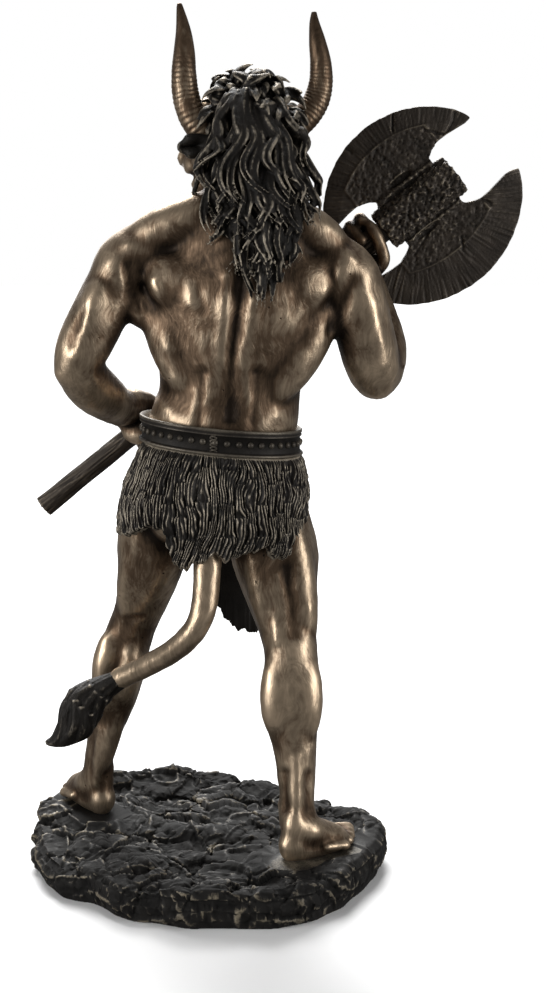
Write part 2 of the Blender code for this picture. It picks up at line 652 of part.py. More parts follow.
def skirt_point(turn, drop, out):
    """A point of the loincloth: turn round the waist in degrees, drop from belt to hem as a share, lifted out."""
    hem = float(np.interp(turn % 360, [t for t, _ in HEM], [z for _, z in HEM]))
    top = BELT_MIDDLE[2] - BELT_HEIGHT / 2 + BELT_TILT * BELT_HALF[0] * math.cos(math.radians(turn))
    z = top + (hem - top) * drop
    angle = math.radians(turn)
    down = (BELT_MIDDLE[2] - z) / 40
    flare = math.sin(min(down * 1.1, 1) * math.pi / 2)
    across, ahead = math.cos(angle), math.sin(angle)
    square = (abs(across) ** 2.5 + abs(ahead) ** 2.5) ** (-1 / 2.5)
    x = BELT_MIDDLE[0] + 4.0 * min(down, 1) + (BELT_HALF[0] - 1.6 + 5.6 * flare + out) * across * square
    y = BELT_MIDDLE[1] + (BELT_HALF[1] - 1.8 + 6.0 * flare + out) * ahead * square
    return x, y, z


def add_skirt(bm, columns=72, rows=7):
    """The pelt as a thick sheet from belt to hem, closed round the hips, and its hanging tufts."""
    outer, inner = [], []
    for i in range(columns):
        turn = 360 * i / columns
        outer.append([bm.verts.new(place(*skirt_point(turn, j / (rows - 1), 0.4))) for j in range(rows)])
        inner.append([bm.verts.new(place(*skirt_point(turn, j / (rows - 1), -3.2))) for j in range(rows)])
    for i in range(columns):
        k = (i + 1) % columns
        for j in range(rows - 1):
            bm.faces.new((outer[i][j], outer[k][j], outer[k][j + 1], outer[i][j + 1]))
            bm.faces.new((inner[i][j], inner[i][j + 1], inner[k][j + 1], inner[k][j]))
        bm.faces.new((outer[i][0], inner[i][0], inner[k][0], outer[k][0]))
        bm.faces.new((outer[i][-1], outer[k][-1], inner[k][-1], inner[i][-1]))


def tuft_rows():
    """Three tiers of tapering tufts over the pelt, the lowest one past its hem."""
    rng = np.random.default_rng(5)
    tufts = []
    tiers = ((0.04, 0.5, 30, 0.2), (0.3, 0.78, 33, 0.5), (0.58, 1.05, 36, 0.4))
    for tier, (start, end, count, out) in enumerate(tiers):
        for i in range(count):
            turn = 360 * (i + 0.5 * (tier % 2)) / count + rng.uniform(-2, 2)
            finish = end + rng.uniform(-0.05, 0.05)
            sway = rng.uniform(-4, 4)
            rows = []
            for j in range(6):
                t = j / 5
                lean = turn + sway * t + 1.5 * math.sin(6 * t + i)
                x, y, z = skirt_point(lean, start + (finish - start) * t, out + 1.5 * math.sin(math.pi * t * 0.8))
                rows.append((x, y, z, max(2.5 * math.sin(math.pi * (0.25 + 0.68 * t)), 0.7)))
            tufts.append(rows)
    return tufts


def add_pelt_tufts(bm):
    for rows in tuft_rows():
        limb(bm, stations(rows), sides=6, steps=1)


def body_strokes():
    """Tool marks that the clay gets once it is softened: the spine's furrow and the lines between muscles."""
    furrow = [place(x, 19, z) for x, z in SPINE[1:]]
    marks = [(furrow, u(2.6), -u(1.7))]
    marks.append(([place(14, 10, 176), place(24, 4, 186), place(27, 2, 192)], u(2.2), -u(0.9)))
    marks.append(([place(-38, 10, 172), place(-46, 3, 184), place(-49, 1, 190)], u(2.2), -u(0.9)))
    marks.append(([place(-9.5, -22, 150), place(-12.5, -22, 184), place(-13, -22, 196)], u(1.8), -u(1.3)))
    marks.append(([place(-29.8, 27, 70), place(-29.8, 28, 52)], u(1.8), -u(0.8)))
    marks.append(([place(30.4, -3, 68), place(33.5, -4, 50)], u(1.8), -u(0.8)))
    return marks


def make_figure(finish):
    """The whole figure as one casting: clay for the flesh, then hair, fur, belt and hands laid over it."""
    flesh = bmesh.new()
    add_trunk(flesh)
    add_back(flesh)
    add_front(flesh)
    add_arms(flesh)
    add_legs(flesh)
    add_tail(flesh)
    body = tooled(melted(flesh, FIGURE_VOXEL, 9), body_strokes())
    whole = bmesh.new()
    join_mesh(whole, body)
    add_foot(whole, *LEFT_FOOT)
    add_foot(whole, *RIGHT_FOOT)
    add_fist(whole, LEFT_GRIP, Vector((0.25, 0.9, 0.3)))
    limb(whole, stations([(31, -18, 149.5, 6.6), (26.5, -25, 149.5, 6.4), (21.5, -30, 149.0, 4.8)]))
    add_fist(whole, RIGHT_GRIP, Vector((-0.30, -0.80, -0.50)))
    add_head(whole)
    add_ears(whole)
    add_horns(whole)
    add_mane(whole)
    add_belt(whole)
    add_skirt(whole)
    add_pelt_tufts(whole)
    add_tuft(whole)
    cast = melted(whole, FIGURE_VOXEL * 0.8, 1)
    obj = add_object("minotaur", cast, finish)
    reduce = obj.modifiers.new("Fewer faces", "DECIMATE")
    reduce.ratio = min(1.0, FIGURE_FACES / len(cast.loop_triangles))
    reduce.use_collapse_triangulate = True
    grips = bmesh.new()
    limb(grips, [(point, radius + GAP) for point, radius in handle_stations()], sides=12, steps=1, tip=0.25)
    head = bmesh.new()
    slab(head, SOCKET_LENGTH / 2 + GAP, SOCKET_WIDTH / 2 + GAP, SOCKET_DEPTH / 2 + GAP, SOCKET_DEPTH * 0.26)
    floor = bmesh.new()
    below = Matrix.Translation((0, 0, place(0, 0, 0).z - FIGURE_HEIGHT)) @ Matrix.Scale(FIGURE_HEIGHT * 2, 4)
    bmesh.ops.create_cube(floor, size=1, matrix=below)
    return combined(obj, "DIFFERENCE", (grips, head, floor), finish)


def combined(obj, operation, others, finish):
    """An object with other closed forms added to it or cut from it, one after another."""
    helpers = []
    for number, bm in enumerate(others):
        bmesh.ops.recalc_face_normals(bm, faces=bm.faces)
        mesh = bpy.data.meshes.new("helper")
        bm.to_mesh(mesh)
        bm.free()
        helper = bpy.data.objects.new("helper", mesh)
        bpy.context.scene.collection.objects.link(helper)
        helpers.append(helper)
        step = obj.modifiers.new(f"{operation.title()} {number + 1}", "BOOLEAN")
        step.operation = operation
        step.solver = "EXACT"
        step.object = helper
    name = obj.name
    made = taken(obj)
    for helper in helpers:
        bpy.data.objects.remove(helper)
    return add_object(name, made, finish)


# The axe, in its own frame: along the handle, along the blades, and out of the flat of the head

def axe_place(along, aside, out):
    return AXE_CENTRE + HANDLE_LINE * along + BLADE_LINE * aside + HEAD_NORMAL * out


def blade_sections(side, count=19):
    """Sections of one crescent blade, from tip to tip: cutting edge, bevel line and inner edge."""
    bevel = NARROW_BEVEL if side < 0 else WIDE_BEVEL
    middle_reach = NARROW_BLADE_REACH if side < 0 else WIDE_BLADE_REACH
    sections = []
    for i in range(count):
        turn = -TIP_ANGLE + 2 * TIP_ANGLE * i / (count - 1)
        share = abs(turn) / TIP_ANGLE
        reach = middle_reach + TIP_GROWTH * (share**2 - 0.35 * share**12)
        edge = (reach * math.sin(turn), reach * math.cos(turn))
        along = edge[0] * 0.92
        inner = float(np.interp(abs(along) / SOCKET_LENGTH, *INNER_EDGE)) * NOTCH_WIDTH
        band = reach - bevel * (1 - 0.35 * share**2)
        line = (band * math.sin(turn), max(band * math.cos(turn), inner + EDGE_THICKNESS))
        if share > 0.93:
            line = ((edge[0] + along) / 2, (edge[1] + inner) / 2)
        sections.append((edge, line, (along, inner)))
    return [[(a, side * b) for a, b in section] for section in sections]


# The blades' inner edge: places along the handle in socket lengths, and how far out it lies in notch widths
INNER_EDGE = ((0.0, 0.281, 0.344, 0.438, 0.563, 0.688, 0.938, 1.063), (0.3, 0.3, 0.75, 0.93, 1.05, 1.04, 0.95, 0.98))


def add_blade(bm, side):
    rings = []
    for edge, line, inner in blade_sections(side):
        thin, thick = EDGE_THICKNESS / 2, BLADE_THICKNESS / 2
        ring = [(*edge, thin), (*line, thick), (*inner, thick), (*inner, -thick), (*line, -thick), (*edge, -thin)]
        rings.append([axe_place(*p) for p in ring])
    skin(bm, rings)


def slab(bm, half_along, half_aside, half_out, corner):
    """A block of the axe head with its long edges cut off at the corners."""
    outline = []
    for a, b in ((1, 1), (-1, 1), (-1, -1), (1, -1)):
        near = (a * half_aside, b * (half_out - corner))
        far = (a * (half_aside - corner), b * half_out)
        outline += [near, far] if a * b > 0 else [far, near]
    rings = [[axe_place(along, aside, out) for aside, out in outline] for along in (-half_along, half_along)]
    skin(bm, rings)


def handle_stations():
    """The handle's path from its butt to the socket, a rough-hewn pole that swells and narrows a little."""
    length = (AXE_CENTRE - BUTT_END).length
    swell = [1.06, 1.0, 0.97, 1.02, 1.0, 1.03, 0.98, 1.0, 1.0]
    return [(BUTT_END + HANDLE_LINE * length * i / 8, HANDLE_RADIUS * s) for i, s in enumerate(swell)]


def make_axe(finish):
    """The axe as one casting: the socket, then the lugs, the two blades and the handle joined to it."""
    socket = bmesh.new()
    slab(socket, SOCKET_LENGTH / 2, SOCKET_WIDTH / 2, SOCKET_DEPTH / 2, SOCKET_DEPTH * 0.26)
    bmesh.ops.recalc_face_normals(socket, faces=socket.faces)
    mesh = bpy.data.meshes.new("battle_axe")
    socket.to_mesh(mesh)
    socket.free()
    parts = [bmesh.new() for _ in range(4)]
    slab(parts[0], LUG_LENGTH / 2, LUG_WIDTH / 2, LUG_DEPTH / 2, LUG_DEPTH * 0.2)
    add_blade(parts[1], -1)
    add_blade(parts[2], 1)
    limb(parts[3], handle_stations(), sides=12, steps=1, tip=0.25)
    return combined(add_object("battle_axe", mesh, finish), "UNION", parts, finish)


# The rock base

# How far the base's edge lies from its middle at turns from the figure's left by way of its back, in shares
EDGE_TURNS = (
    0, 19, 31, 41, 52, 64, 72, 88, 101, 115, 129, 147, 173, 187, 200, 217, 239, 255, 271, 284, 299, 314, 330, 346, 360,
)
EDGE_REACH = (
    0.96, 0.92, 0.89, 0.82, 0.82, 0.86, 0.84, 0.86, 0.87, 0.94, 0.96, 0.94, 0.97, 1.02, 0.95, 0.84, 0.78, 0.82,
    0.91, 1.00, 1.08, 1.19, 1.13, 1.05, 0.96,
)

# Places on the base are written in shares of its width and its depth
BASE_UNITS = (129.0, 119.0)
EDGE_DEPTH = BASE_UNITS[0] / BASE_UNITS[1]

# Ridges and hollows: a path over the base, its width in shares, and how far it rises or sinks in reliefs
RIDGES = [
    ([(52, 40), (29, 54), (8, 58), (-16, 52), (-36, 43), (-52, 28)], 6.0, 0.5),
    ([(25, -15), (12, -4), (0.6, 4.2), (-10, 1.4), (-18, 16), (-22.5, 27)], 5.0, 0.8),
    ([(-7.6, -22.5), (-20, -10), (-33, -0.6)], 5.0, 0.7),
    ([(52, -1), (40, 8), (30, 13.6), (18, 36)], 6.0, 0.7),
    ([(38, -60), (22, -62), (5, -58), (-14, -50), (-26, -40)], 7.5, 1.3),
    ([(-41, -26), (-50, -18), (-58, -5)], 6.0, 0.7),
    ([(60, -50), (57, -42)], 9.0, 1.2),
    ([(8, 32), (-16, 36), (-40, 27)], 8.0, -0.8),
    ([(20, -32), (4, -36), (-12, -30)], 9.0, -0.5),
]


def rock_edge(turn):
    """The base's outline as a point of the plan, with small breaks along it."""
    reach = float(np.interp(math.degrees(turn) % 360, EDGE_TURNS, EDGE_REACH))
    chip = noise.noise(Vector((math.cos(turn) * 5, math.sin(turn) * 5, 3.7)))
    reach *= 1 + 0.035 * chip
    return reach * math.cos(turn) * BASE_WIDTH / 2, reach * math.sin(turn) * EDGE_DEPTH * BASE_DEPTH / 2


def slab_height(x, y):
    """The height of the broken slabs of rock at a place of the plan, from -1 to 1: each slab is tilted its own way."""
    spot = Vector((x, y, 0)) / SLAB_SIZE
    spot += Vector((0.35 * noise.noise(spot * 1.35), 0, 0.5))
    near, corners = noise.voronoi(spot)
    tilt = noise.noise_vector(corners[0] * 3.1)
    offset = spot - corners[0]
    step = noise.noise(corners[0] * 5.3 + Vector((4, 8, 1)))
    crack = min((near[1] - near[0]) * 5.0, 1.0)
    return 0.9 * step + 1.3 * (tilt.x * offset.x + tilt.y * offset.y) - 0.55 * (1 - crack)


def foot_distance(x, y):
    """How far a place of the plan is from the middle line of the nearer foot."""
    found = []
    for heel, toe, _ in (LEFT_FOOT, RIGHT_FOOT):
        run = (toe - heel).xy
        share = min(max((Vector((x, y)) - heel.xy).dot(run) / run.length_squared, 0.1), 0.9)
        found.append((Vector((x, y)) - heel.xy - run * share).length)
    return min(found)


def ridge_height(x, y):
    """The rise of the ridges and the sinking of the hollows at a place of the plan, in reliefs."""
    spot = np.array([[x / BASE_WIDTH * BASE_UNITS[0], y / BASE_DEPTH * BASE_UNITS[1]]])
    return sum(rise * math.exp(-((distance_to(spot, path)[0] / width) ** 2)) for path, width, rise in RIDGES)


def rock_height(x, y):
    """The top of the rock: broken slabs with ridges and hollows over them, level under the feet."""
    rough = ROCK_RELIEF * (0.7 * slab_height(x, y) + ridge_height(x, y) - 0.45)
    away = foot_distance(x, y)
    level = BASE_THICKNESS + rough * min(max((away - u(10.5)) / u(7), 0), 1)
    return min(level, BASE_THICKNESS) if away < u(15) else level


def make_base(finish):
    """The base as a grid of rings from its middle to its edge, rough sides, and a flat underside."""
    bm = bmesh.new()
    turns = [2 * math.pi * i / ROCK_SECTORS for i in range(ROCK_SECTORS)]
    edge = [rock_edge(a) for a in turns]
    rings = []
    for j in range(1, ROCK_RINGS + 1):
        share = (j / ROCK_RINGS) ** 0.85 * 0.955
        rings.append([(x * share, y * share, rock_height(x * share, y * share)) for x, y in edge])
    for share, height in ((0.99, 0.80), (1.005, 0.52), (0.995, 0.26), (0.97, 0.0)):
        ring = []
        for (x, y), (_, _, top) in zip(edge, rings[ROCK_RINGS - 1]):
            bump = 0.022 * noise.noise(Vector((x / BASE_WIDTH, y / BASE_DEPTH, height * 0.16)) * 21)
            grow = share + (bump if height else 0)
            ring.append((x * grow, y * grow, top * height))
        rings.append(ring)
    made = [[bm.verts.new(p) for p in ring] for ring in rings]
    middle = bm.verts.new((0, 0, rock_height(0, 0)))
    under = bm.verts.new((0, 0, 0))
    for i in range(ROCK_SECTORS):
        k = (i + 1) % ROCK_SECTORS
        bm.faces.new((middle, made[0][i], made[0][k]))
        bm.faces.new((under, made[-1][k], made[-1][i]))
        for inner, outer in zip(made, made[1:]):
            bm.faces.new((inner[i], outer[i], outer[k]))
            bm.faces.new((inner[i], outer[k], inner[k]))
    bmesh.ops.recalc_face_normals(bm, faces=bm.faces)
    mesh = bpy.data.meshes.new("rock_base")
    bm.to_mesh(mesh)
    bm.free()
    return add_object("rock_base", mesh, finish, smooth=False)


def main():
    for obj in list(bpy.data.objects):
        bpy.data.objects.remove(obj)
    make_figure(material("aged_bronze", (0.21, 0.15, 0.10), 0.38, 0.9))
    make_axe(material("dark_bronze", (0.10, 0.085, 0.072), 0.5, 0.85))
    make_base(material("dark_rock", (0.065, 0.058, 0.052), 0.6, 0.7))


main()
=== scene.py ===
"""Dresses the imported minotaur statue: carved bronze for the figure and its axe, broken rock for the base.

Metres, +Z up. The figure faces -Y and its left hand is on the +X side.
"""

import math

import bmesh
import bpy
import numpy as np
from bpy.props import FloatProperty, FloatVectorProperty, IntProperty, PointerProperty
from mathutils import Matrix, Vector, noise


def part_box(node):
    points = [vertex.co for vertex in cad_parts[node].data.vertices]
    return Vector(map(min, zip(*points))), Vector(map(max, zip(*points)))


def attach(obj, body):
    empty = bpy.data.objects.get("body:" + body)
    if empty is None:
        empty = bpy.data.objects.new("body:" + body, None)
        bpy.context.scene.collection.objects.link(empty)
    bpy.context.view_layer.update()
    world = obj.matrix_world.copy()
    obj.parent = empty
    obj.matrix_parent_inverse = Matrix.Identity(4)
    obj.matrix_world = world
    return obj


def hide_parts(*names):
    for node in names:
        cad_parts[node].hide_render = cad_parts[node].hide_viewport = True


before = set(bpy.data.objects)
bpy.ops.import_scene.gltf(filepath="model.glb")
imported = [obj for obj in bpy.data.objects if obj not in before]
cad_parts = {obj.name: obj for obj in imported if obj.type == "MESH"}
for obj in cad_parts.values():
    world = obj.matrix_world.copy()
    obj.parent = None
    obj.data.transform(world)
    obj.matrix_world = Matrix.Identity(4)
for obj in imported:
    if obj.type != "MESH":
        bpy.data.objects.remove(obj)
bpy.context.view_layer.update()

bl_info = {
    "name": "Minotaur Statue",
    "version": (1, 0, 0),
    "blender": (4, 5, 0),
    "location": "View3D > Sidebar > Statue",
    "description": "Models the carved surfaces and the finishes of a minotaur statue round its packed solids",
    "category": "Add Mesh",
}

# Places on the figure are written in shares of its height: UNITS of them from sole to horn tip
UNITS = 287.0
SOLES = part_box("minotaur")[0].z
UNIT = (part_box("minotaur")[1].z - SOLES) / UNITS

BASE_LOW, BASE_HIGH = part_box("rock_base")


def place(x, y, z):
    """A point of the figure, from its three shares."""
    return Vector((x, y, z)) * UNIT + Vector((0, 0, SOLES))


# Where the two hands hold the axe, and the line of its handle
LEFT_GRIP = place(22.0, -31.6, 142.3)
RIGHT_GRIP = place(-54.9, -35.1, 204.3)
HANDLE_LINE = (RIGHT_GRIP - LEFT_GRIP).normalized()
HEAD_DISTANCE = 0.0262
BUTT_LENGTH = 0.0482
AXE_CENTRE = RIGHT_GRIP + HANDLE_LINE * HEAD_DISTANCE
BUTT_END = LEFT_GRIP - HANDLE_LINE * BUTT_LENGTH
FACING = Vector((0, 1, 0))
BLADE_LINE = HANDLE_LINE.cross(FACING).normalized()
HEAD_NORMAL = BLADE_LINE.cross(HANDLE_LINE).normalized()


# What a user can set


class FigureSettings(bpy.types.PropertyGroup):
    """Fineness of the carving and the colours of the bronze."""

    flesh_voxel: FloatProperty(
        name="Flesh fineness", description="Size of the grain that the flesh is carved in",
        default=0.00070, min=0.0004, unit="LENGTH",
    )
    hair_voxel: FloatProperty(
        name="Hair fineness", description="Size of the grain that hair and fur are carved in",
        default=0.00042, min=0.0003, unit="LENGTH",
    )
    piece_triangles: IntProperty(
        name="Triangles", description="The most triangles that one carved piece keeps", default=170000,
    )
    bronze: FloatVectorProperty(
        name="Bronze", description="Colour of the bronze skin", subtype="COLOR", default=(0.125, 0.083, 0.053),
    )
    rubbed: FloatVectorProperty(
        name="Rubbed bronze", description="Colour where the skin is rubbed bright", subtype="COLOR",
        default=(0.56, 0.43, 0.30),
    )
    patina: FloatVectorProperty(
        name="Patina", description="Colour that settles in the hollows", subtype="COLOR",
        default=(0.020, 0.014, 0.010),
    )


class HairSettings(bpy.types.PropertyGroup):
    """The mane, the mop of hair on the head and the brush of the tail."""

    mane_tiers: IntProperty(name="Mane tiers", description="Rows of locks over the nape", default=5)
    locks: IntProperty(name="Locks", description="Locks in the widest row of the mane", default=13)
    strands: IntProperty(name="Strands", description="Strands in each lock of the mane", default=4)
    curls: IntProperty(name="Curls", description="Curls in the mop of hair between the horns", default=150)
    light_edge: FloatVectorProperty(
        name="Edge", description="Colour of the dry-brushed edges of hair and fur", subtype="COLOR",
        default=(0.36, 0.31, 0.24),
    )
    dark: FloatVectorProperty(
        name="Dark", description="Colour of hair, fur and belt", subtype="COLOR", default=(0.013, 0.0108, 0.0088),
    )


class LoinclothSettings(bpy.types.PropertyGroup):
    """The belt and the fur that hangs from it."""

    fur_rows: IntProperty(name="Fur rows", description="Rows of points worked from belt to hem", default=92)
    fur_columns: IntProperty(name="Fur columns", description="Points worked round the hips", default=1000)
    stud_count: IntProperty(name="Studs", description="Round studs along the belt", default=42)
    stud_size: FloatProperty(
        name="Stud size", description="Diameter of a stud", default=0.0021, unit="LENGTH",
    )


class AxeSettings(bpy.types.PropertyGroup):
    """The two-bladed axe."""

    blade_voxel: FloatProperty(
        name="Axe fineness", description="Size of the grain that the axe head is carved in",
        default=0.00036, min=0.0003, unit="LENGTH",
    )
    pit_depth: FloatProperty(
        name="Pit depth", description="Depth of the hammered pits", default=0.00050, unit="LENGTH",
    )
    groove_depth: FloatProperty(
        name="Groove depth", description="Depth of the grooves across the bevels", default=0.00022, unit="LENGTH",
    )
    colour: FloatVectorProperty(
        name="Colour", description="Colour of the axe", subtype="COLOR", default=(0.040, 0.032, 0.025),
    )


class RockSettings(bpy.types.PropertyGroup):
    """The rock base."""

    voxel: FloatProperty(
        name="Rock fineness", description="Size of the grain that the rock is carved in",
        default=0.00042, min=0.0003, unit="LENGTH",
    )
    relief: FloatProperty(
        name="Relief", description="Height of the broken slabs", default=0.0030, unit="LENGTH",
    )
    colour: FloatVectorProperty(
        name="Colour", description="Colour of the rock", subtype="COLOR", default=(0.0085, 0.0075, 0.0065),
    )
    edge: FloatVectorProperty(
        name="Edge", description="Colour of the rock's rubbed edges", subtype="COLOR", default=(0.33, 0.28, 0.20),
    )


class StageSettings(bpy.types.PropertyGroup):
    """The floor, the lamps and the camera."""

    floor_colour: FloatVectorProperty(
        name="Floor", description="Colour of the floor", subtype="COLOR", default=(0.92, 0.92, 0.92),
    )
    lamp_power: FloatProperty(
        name="Lamp power", description="Power of the two soft boxes", default=4.9, subtype="POWER",
    )
    floor_glow: FloatProperty(name="Floor glow", description="Light the floor gives of its own", default=0.0)
    ceiling: FloatProperty(name="Ceiling", description="Strength of the soft light from above", default=5.2)
    surround: FloatProperty(
        name="Surround", description="How light the studio around the statue is", default=0.20,
    )


SETTINGS = {
    "statue_figure": FigureSettings,
    "statue_hair": HairSettings,
    "statue_loincloth": LoinclothSettings,
    "statue_axe": AxeSettings,
    "statue_rock": RockSettings,
    "statue_stage": StageSettings,
}


# Modelling tools: each one adds a closed form to a bmesh, or works a mesh


def square_to(direction, near=FACING):
    """Two unit vectors square to a direction and to each other, the first one as near as can be to another."""
    direction = direction.normalized()
    first = near - direction * near.dot(direction)
    if first.length < 1e-6:
        first = Vector((1, 0, 0)) - direction * direction.x
    first.normalize()
    return first, direction.cross(first)


def smooth_path(points, steps):
    """A Catmull-Rom curve through points of any number of values, with so many steps between each two."""
    points = [np.array(p, float) for p in points]
    ends = [2 * points[0] - points[1], *points, 2 * points[-1] - points[-2]]
    path = []
    for a, b, c, d in zip(ends, ends[1:], ends[2:], ends[3:]):
        for i in range(steps):
            t = i / steps
            path.append(
                0.5 * (2 * b + (c - a) * t + (2 * a - 5 * b + 4 * c - d) * t**2 + (3 * b - a - 3 * c + d) * t**3)
            )
    path.append(points[-1])
    return path


def skin(bm, rings):
    """A closed skin over rings of equally many points, with a cap at each end."""
    made = [[bm.verts.new(p) for p in ring] for ring in rings]
    count = len(made[0])
    for lower, upper in zip(made, made[1:]):
        for i in range(count):
            j = (i + 1) % count
            bm.faces.new((lower[i], lower[j], upper[j], upper[i]))
    bm.faces.new(list(reversed(made[0])))
    bm.faces.new(made[-1])


def limb(bm, stations, sides=12, steps=4, wide=1.0, near=FACING, tip=0.9):
    """A round form along a path of (point, radius), with round ends. Wide stretches it square to near."""
    path = smooth_path([(*p, r) for p, r in stations], steps)
    points = [Vector(p[:3]) for p in path]
    radii = [max(float(p[3]), 1e-5) for p in path]
    rings = []

    def ring(centre, direction, radius):
        deep, across = square_to(direction, near)
        turns = [2 * math.pi * i / sides for i in range(sides)]
        return [centre + deep * radius * math.cos(a) + across * radius * wide * math.sin(a) for a in turns]

    first, last = points[0] - points[1], points[-1] - points[-2]
    for reach, share in ((tip, 0.35), (tip * 0.6, 0.78)):
        rings.append(ring(points[0] + first.normalized() * radii[0] * reach, -first, radii[0] * share))
    for i, (point, radius) in enumerate(zip(points, radii)):
        before, after = points[max(i - 1, 0)], points[min(i + 1, len(points) - 1)]
        rings.append(ring(point, after - before, radius))
    for reach, share in ((tip * 0.6, 0.78), (tip, 0.35)):
        rings.append(ring(points[-1] + last.normalized() * radii[-1] * reach, last, radii[-1] * share))
    skin(bm, rings)


def blob(bm, centre, radii, towards=Vector((0, 0, 1)), near=FACING):
    """An ellipsoid: its three radii run along near, across, and towards."""
    deep, across = square_to(towards, near)
    axes = Matrix((deep, across, towards.normalized())).transposed().to_4x4()
    shape = Matrix.Translation(centre) @ axes @ Matrix.Diagonal((*radii, 1))
    bmesh.ops.create_icosphere(bm, subdivisions=3, radius=1, matrix=shape)


def spindle(bm, a, b, wide, deep, near=FACING, over=1.15):
    """A muscle: an ellipsoid that runs from a to b and a little past them."""
    blob(bm, (a + b) / 2, (deep, wide, (b - a).length / 2 * over), b - a, near)


def melted(bm, voxel, rounds, name="clay"):
    """The union of a bmesh's closed forms as one even skin, softened by so many rounds of smoothing."""
    mesh = bpy.data.meshes.new(name)
    bmesh.ops.recalc_face_normals(bm, faces=bm.faces)
    bm.to_mesh(mesh)
    bm.free()
    obj = bpy.data.objects.new(name, mesh)
    bpy.context.scene.collection.objects.link(obj)
    remesh = obj.modifiers.new("Union", "REMESH")
    remesh.mode = "VOXEL"
    remesh.voxel_size = voxel
    if rounds:
        soften = obj.modifiers.new("Soften", "SMOOTH")
        soften.factor = 0.5
        soften.iterations = rounds
    return taken(obj)


def taken(obj):
    """The mesh that an object's modifiers make, with the object removed."""
    bpy.context.view_layer.update()
    made = bpy.data.meshes.new_from_object(obj.evaluated_get(bpy.context.evaluated_depsgraph_get()))
    bpy.data.objects.remove(obj)
    return made


def coordinates(mesh, source="vertices"):
    found = np.empty(len(mesh.vertices) * 3, np.float32)
    if source == "vertices":
        mesh.vertices.foreach_get("co", found)
    else:
        mesh.vertex_normals.foreach_get("vector", found)
    return found.reshape(-1, 3).astype(float)


def distance_to(points, path):
    """How far each point is from a path of straight runs."""
    nearest = np.full(len(points), np.inf)
    for a, b in zip(path, path[1:]):
        a, b = np.array(a, float), np.array(b, float)
        run = b - a
        share = np.clip((points - a) @ run / max(run @ run, 1e-12), 0, 1)
        nearest = np.minimum(nearest, np.linalg.norm(points - a - share[:, None] * run, axis=1))
    return nearest


def tooled(mesh, strokes):
    """Works a skin with strokes of (path, width, height): a height above zero raises it, one below cuts."""
    points, normals = coordinates(mesh), coordinates(mesh, "normals")
    lift = np.zeros(len(points))
    for path, width, height in strokes:
        lift += height * np.exp(-((distance_to(points, path) / width) ** 2))
    mesh.vertices.foreach_set("co", (points + normals * lift[:, None]).astype(np.float32).ravel())
    mesh.update()
    return mesh


def join_mesh(bm, mesh):
    bm.from_mesh(mesh)
    bpy.data.meshes.remove(mesh)


def lock(bm, path, flutes=3, sides=14, steps=3, wide=1.35, depth=0.34, twist=0.0, near=FACING):
    """A lock of hair: a tapering form along a path of (point, radius), with grooves along it."""
    rows = smooth_path([(*p, r) for p, r in path], steps)
    points = [Vector(row[:3]) for row in rows]
    turns = [2 * math.pi * i / sides for i in range(sides)]
    rings = []
    for i, point in enumerate(points):
        before, after = points[max(i - 1, 0)], points[min(i + 1, len(points) - 1)]
        deep, across = square_to(after - before, near)
        radius = max(float(rows[i][3]), 1e-5)
        ring = []
        for a in turns:
            groove = 1 - depth + depth * abs(math.cos(flutes * a / 2 + twist * i / len(points)))
            ring.append(point + (deep * math.cos(a) + across * wide * math.sin(a)) * radius * groove)
        rings.append(ring)
    skin(bm, rings)


def carved(bm, voxel, rounds, name, triangles):
    """The union of a bmesh's closed forms, softened, with no more triangles than are wanted."""
    mesh = melted(bm, voxel, rounds, name)
    count = len(mesh.polygons) * 2
    if count <= triangles:
        return mesh
    obj = bpy.data.objects.new(name, mesh)
    bpy.context.scene.collection.objects.link(obj)
    fewer = obj.modifiers.new("Fewer faces", "DECIMATE")
    fewer.ratio = triangles / count
    made = taken(obj)
    bpy.data.meshes.remove(mesh)
    return made


def neighbours(mesh):
    """The two ends of each edge, and how many edges meet at each vertex."""
    ends = np.empty(len(mesh.edges) * 2, np.int32)
    mesh.edges.foreach_get("vertices", ends)
    a, b = ends[::2], ends[1::2]
    return a, b, np.maximum(np.bincount(ends, minlength=len(mesh.vertices)), 1)


def evened(values, ends, rounds):
    """Values of the vertices, averaged with their neighbours' so many times."""
    a, b, count = ends
    values = values.reshape(len(count), -1).copy()
    for _ in range(rounds):
        for k in range(values.shape[1]):
            column = values[:, k]
            total = np.bincount(a, column[b], len(count)) + np.bincount(b, column[a], len(count))
            values[:, k] = (column + total / count) / 2
    return values


def mark_relief(mesh, edge_rounds=5, form_rounds=70, edge_size=0.00022, form_size=0.0016, plain=None):
    """Stores how far each vertex stands out of the surface near it: relief_edge in fine, relief_form in broad."""
    ends = neighbours(mesh)
    points, normals = coordinates(mesh), coordinates(mesh, "normals")
    near = evened(points, ends, edge_rounds)
    far = evened(near, ends, form_rounds)
    for name, average, size in (("relief_edge", near, edge_size), ("relief_form", far, form_size)):
        out = ((points - average) * normals).sum(1) / size
        out = evened(out, ends, 1)[:, 0]
        if plain is not None:
            out[plain] = -0.1
        layer = mesh.attributes.new(name, "FLOAT", "POINT")
        layer.data.foreach_set("value", np.clip(out, -1, 1).astype(np.float32))


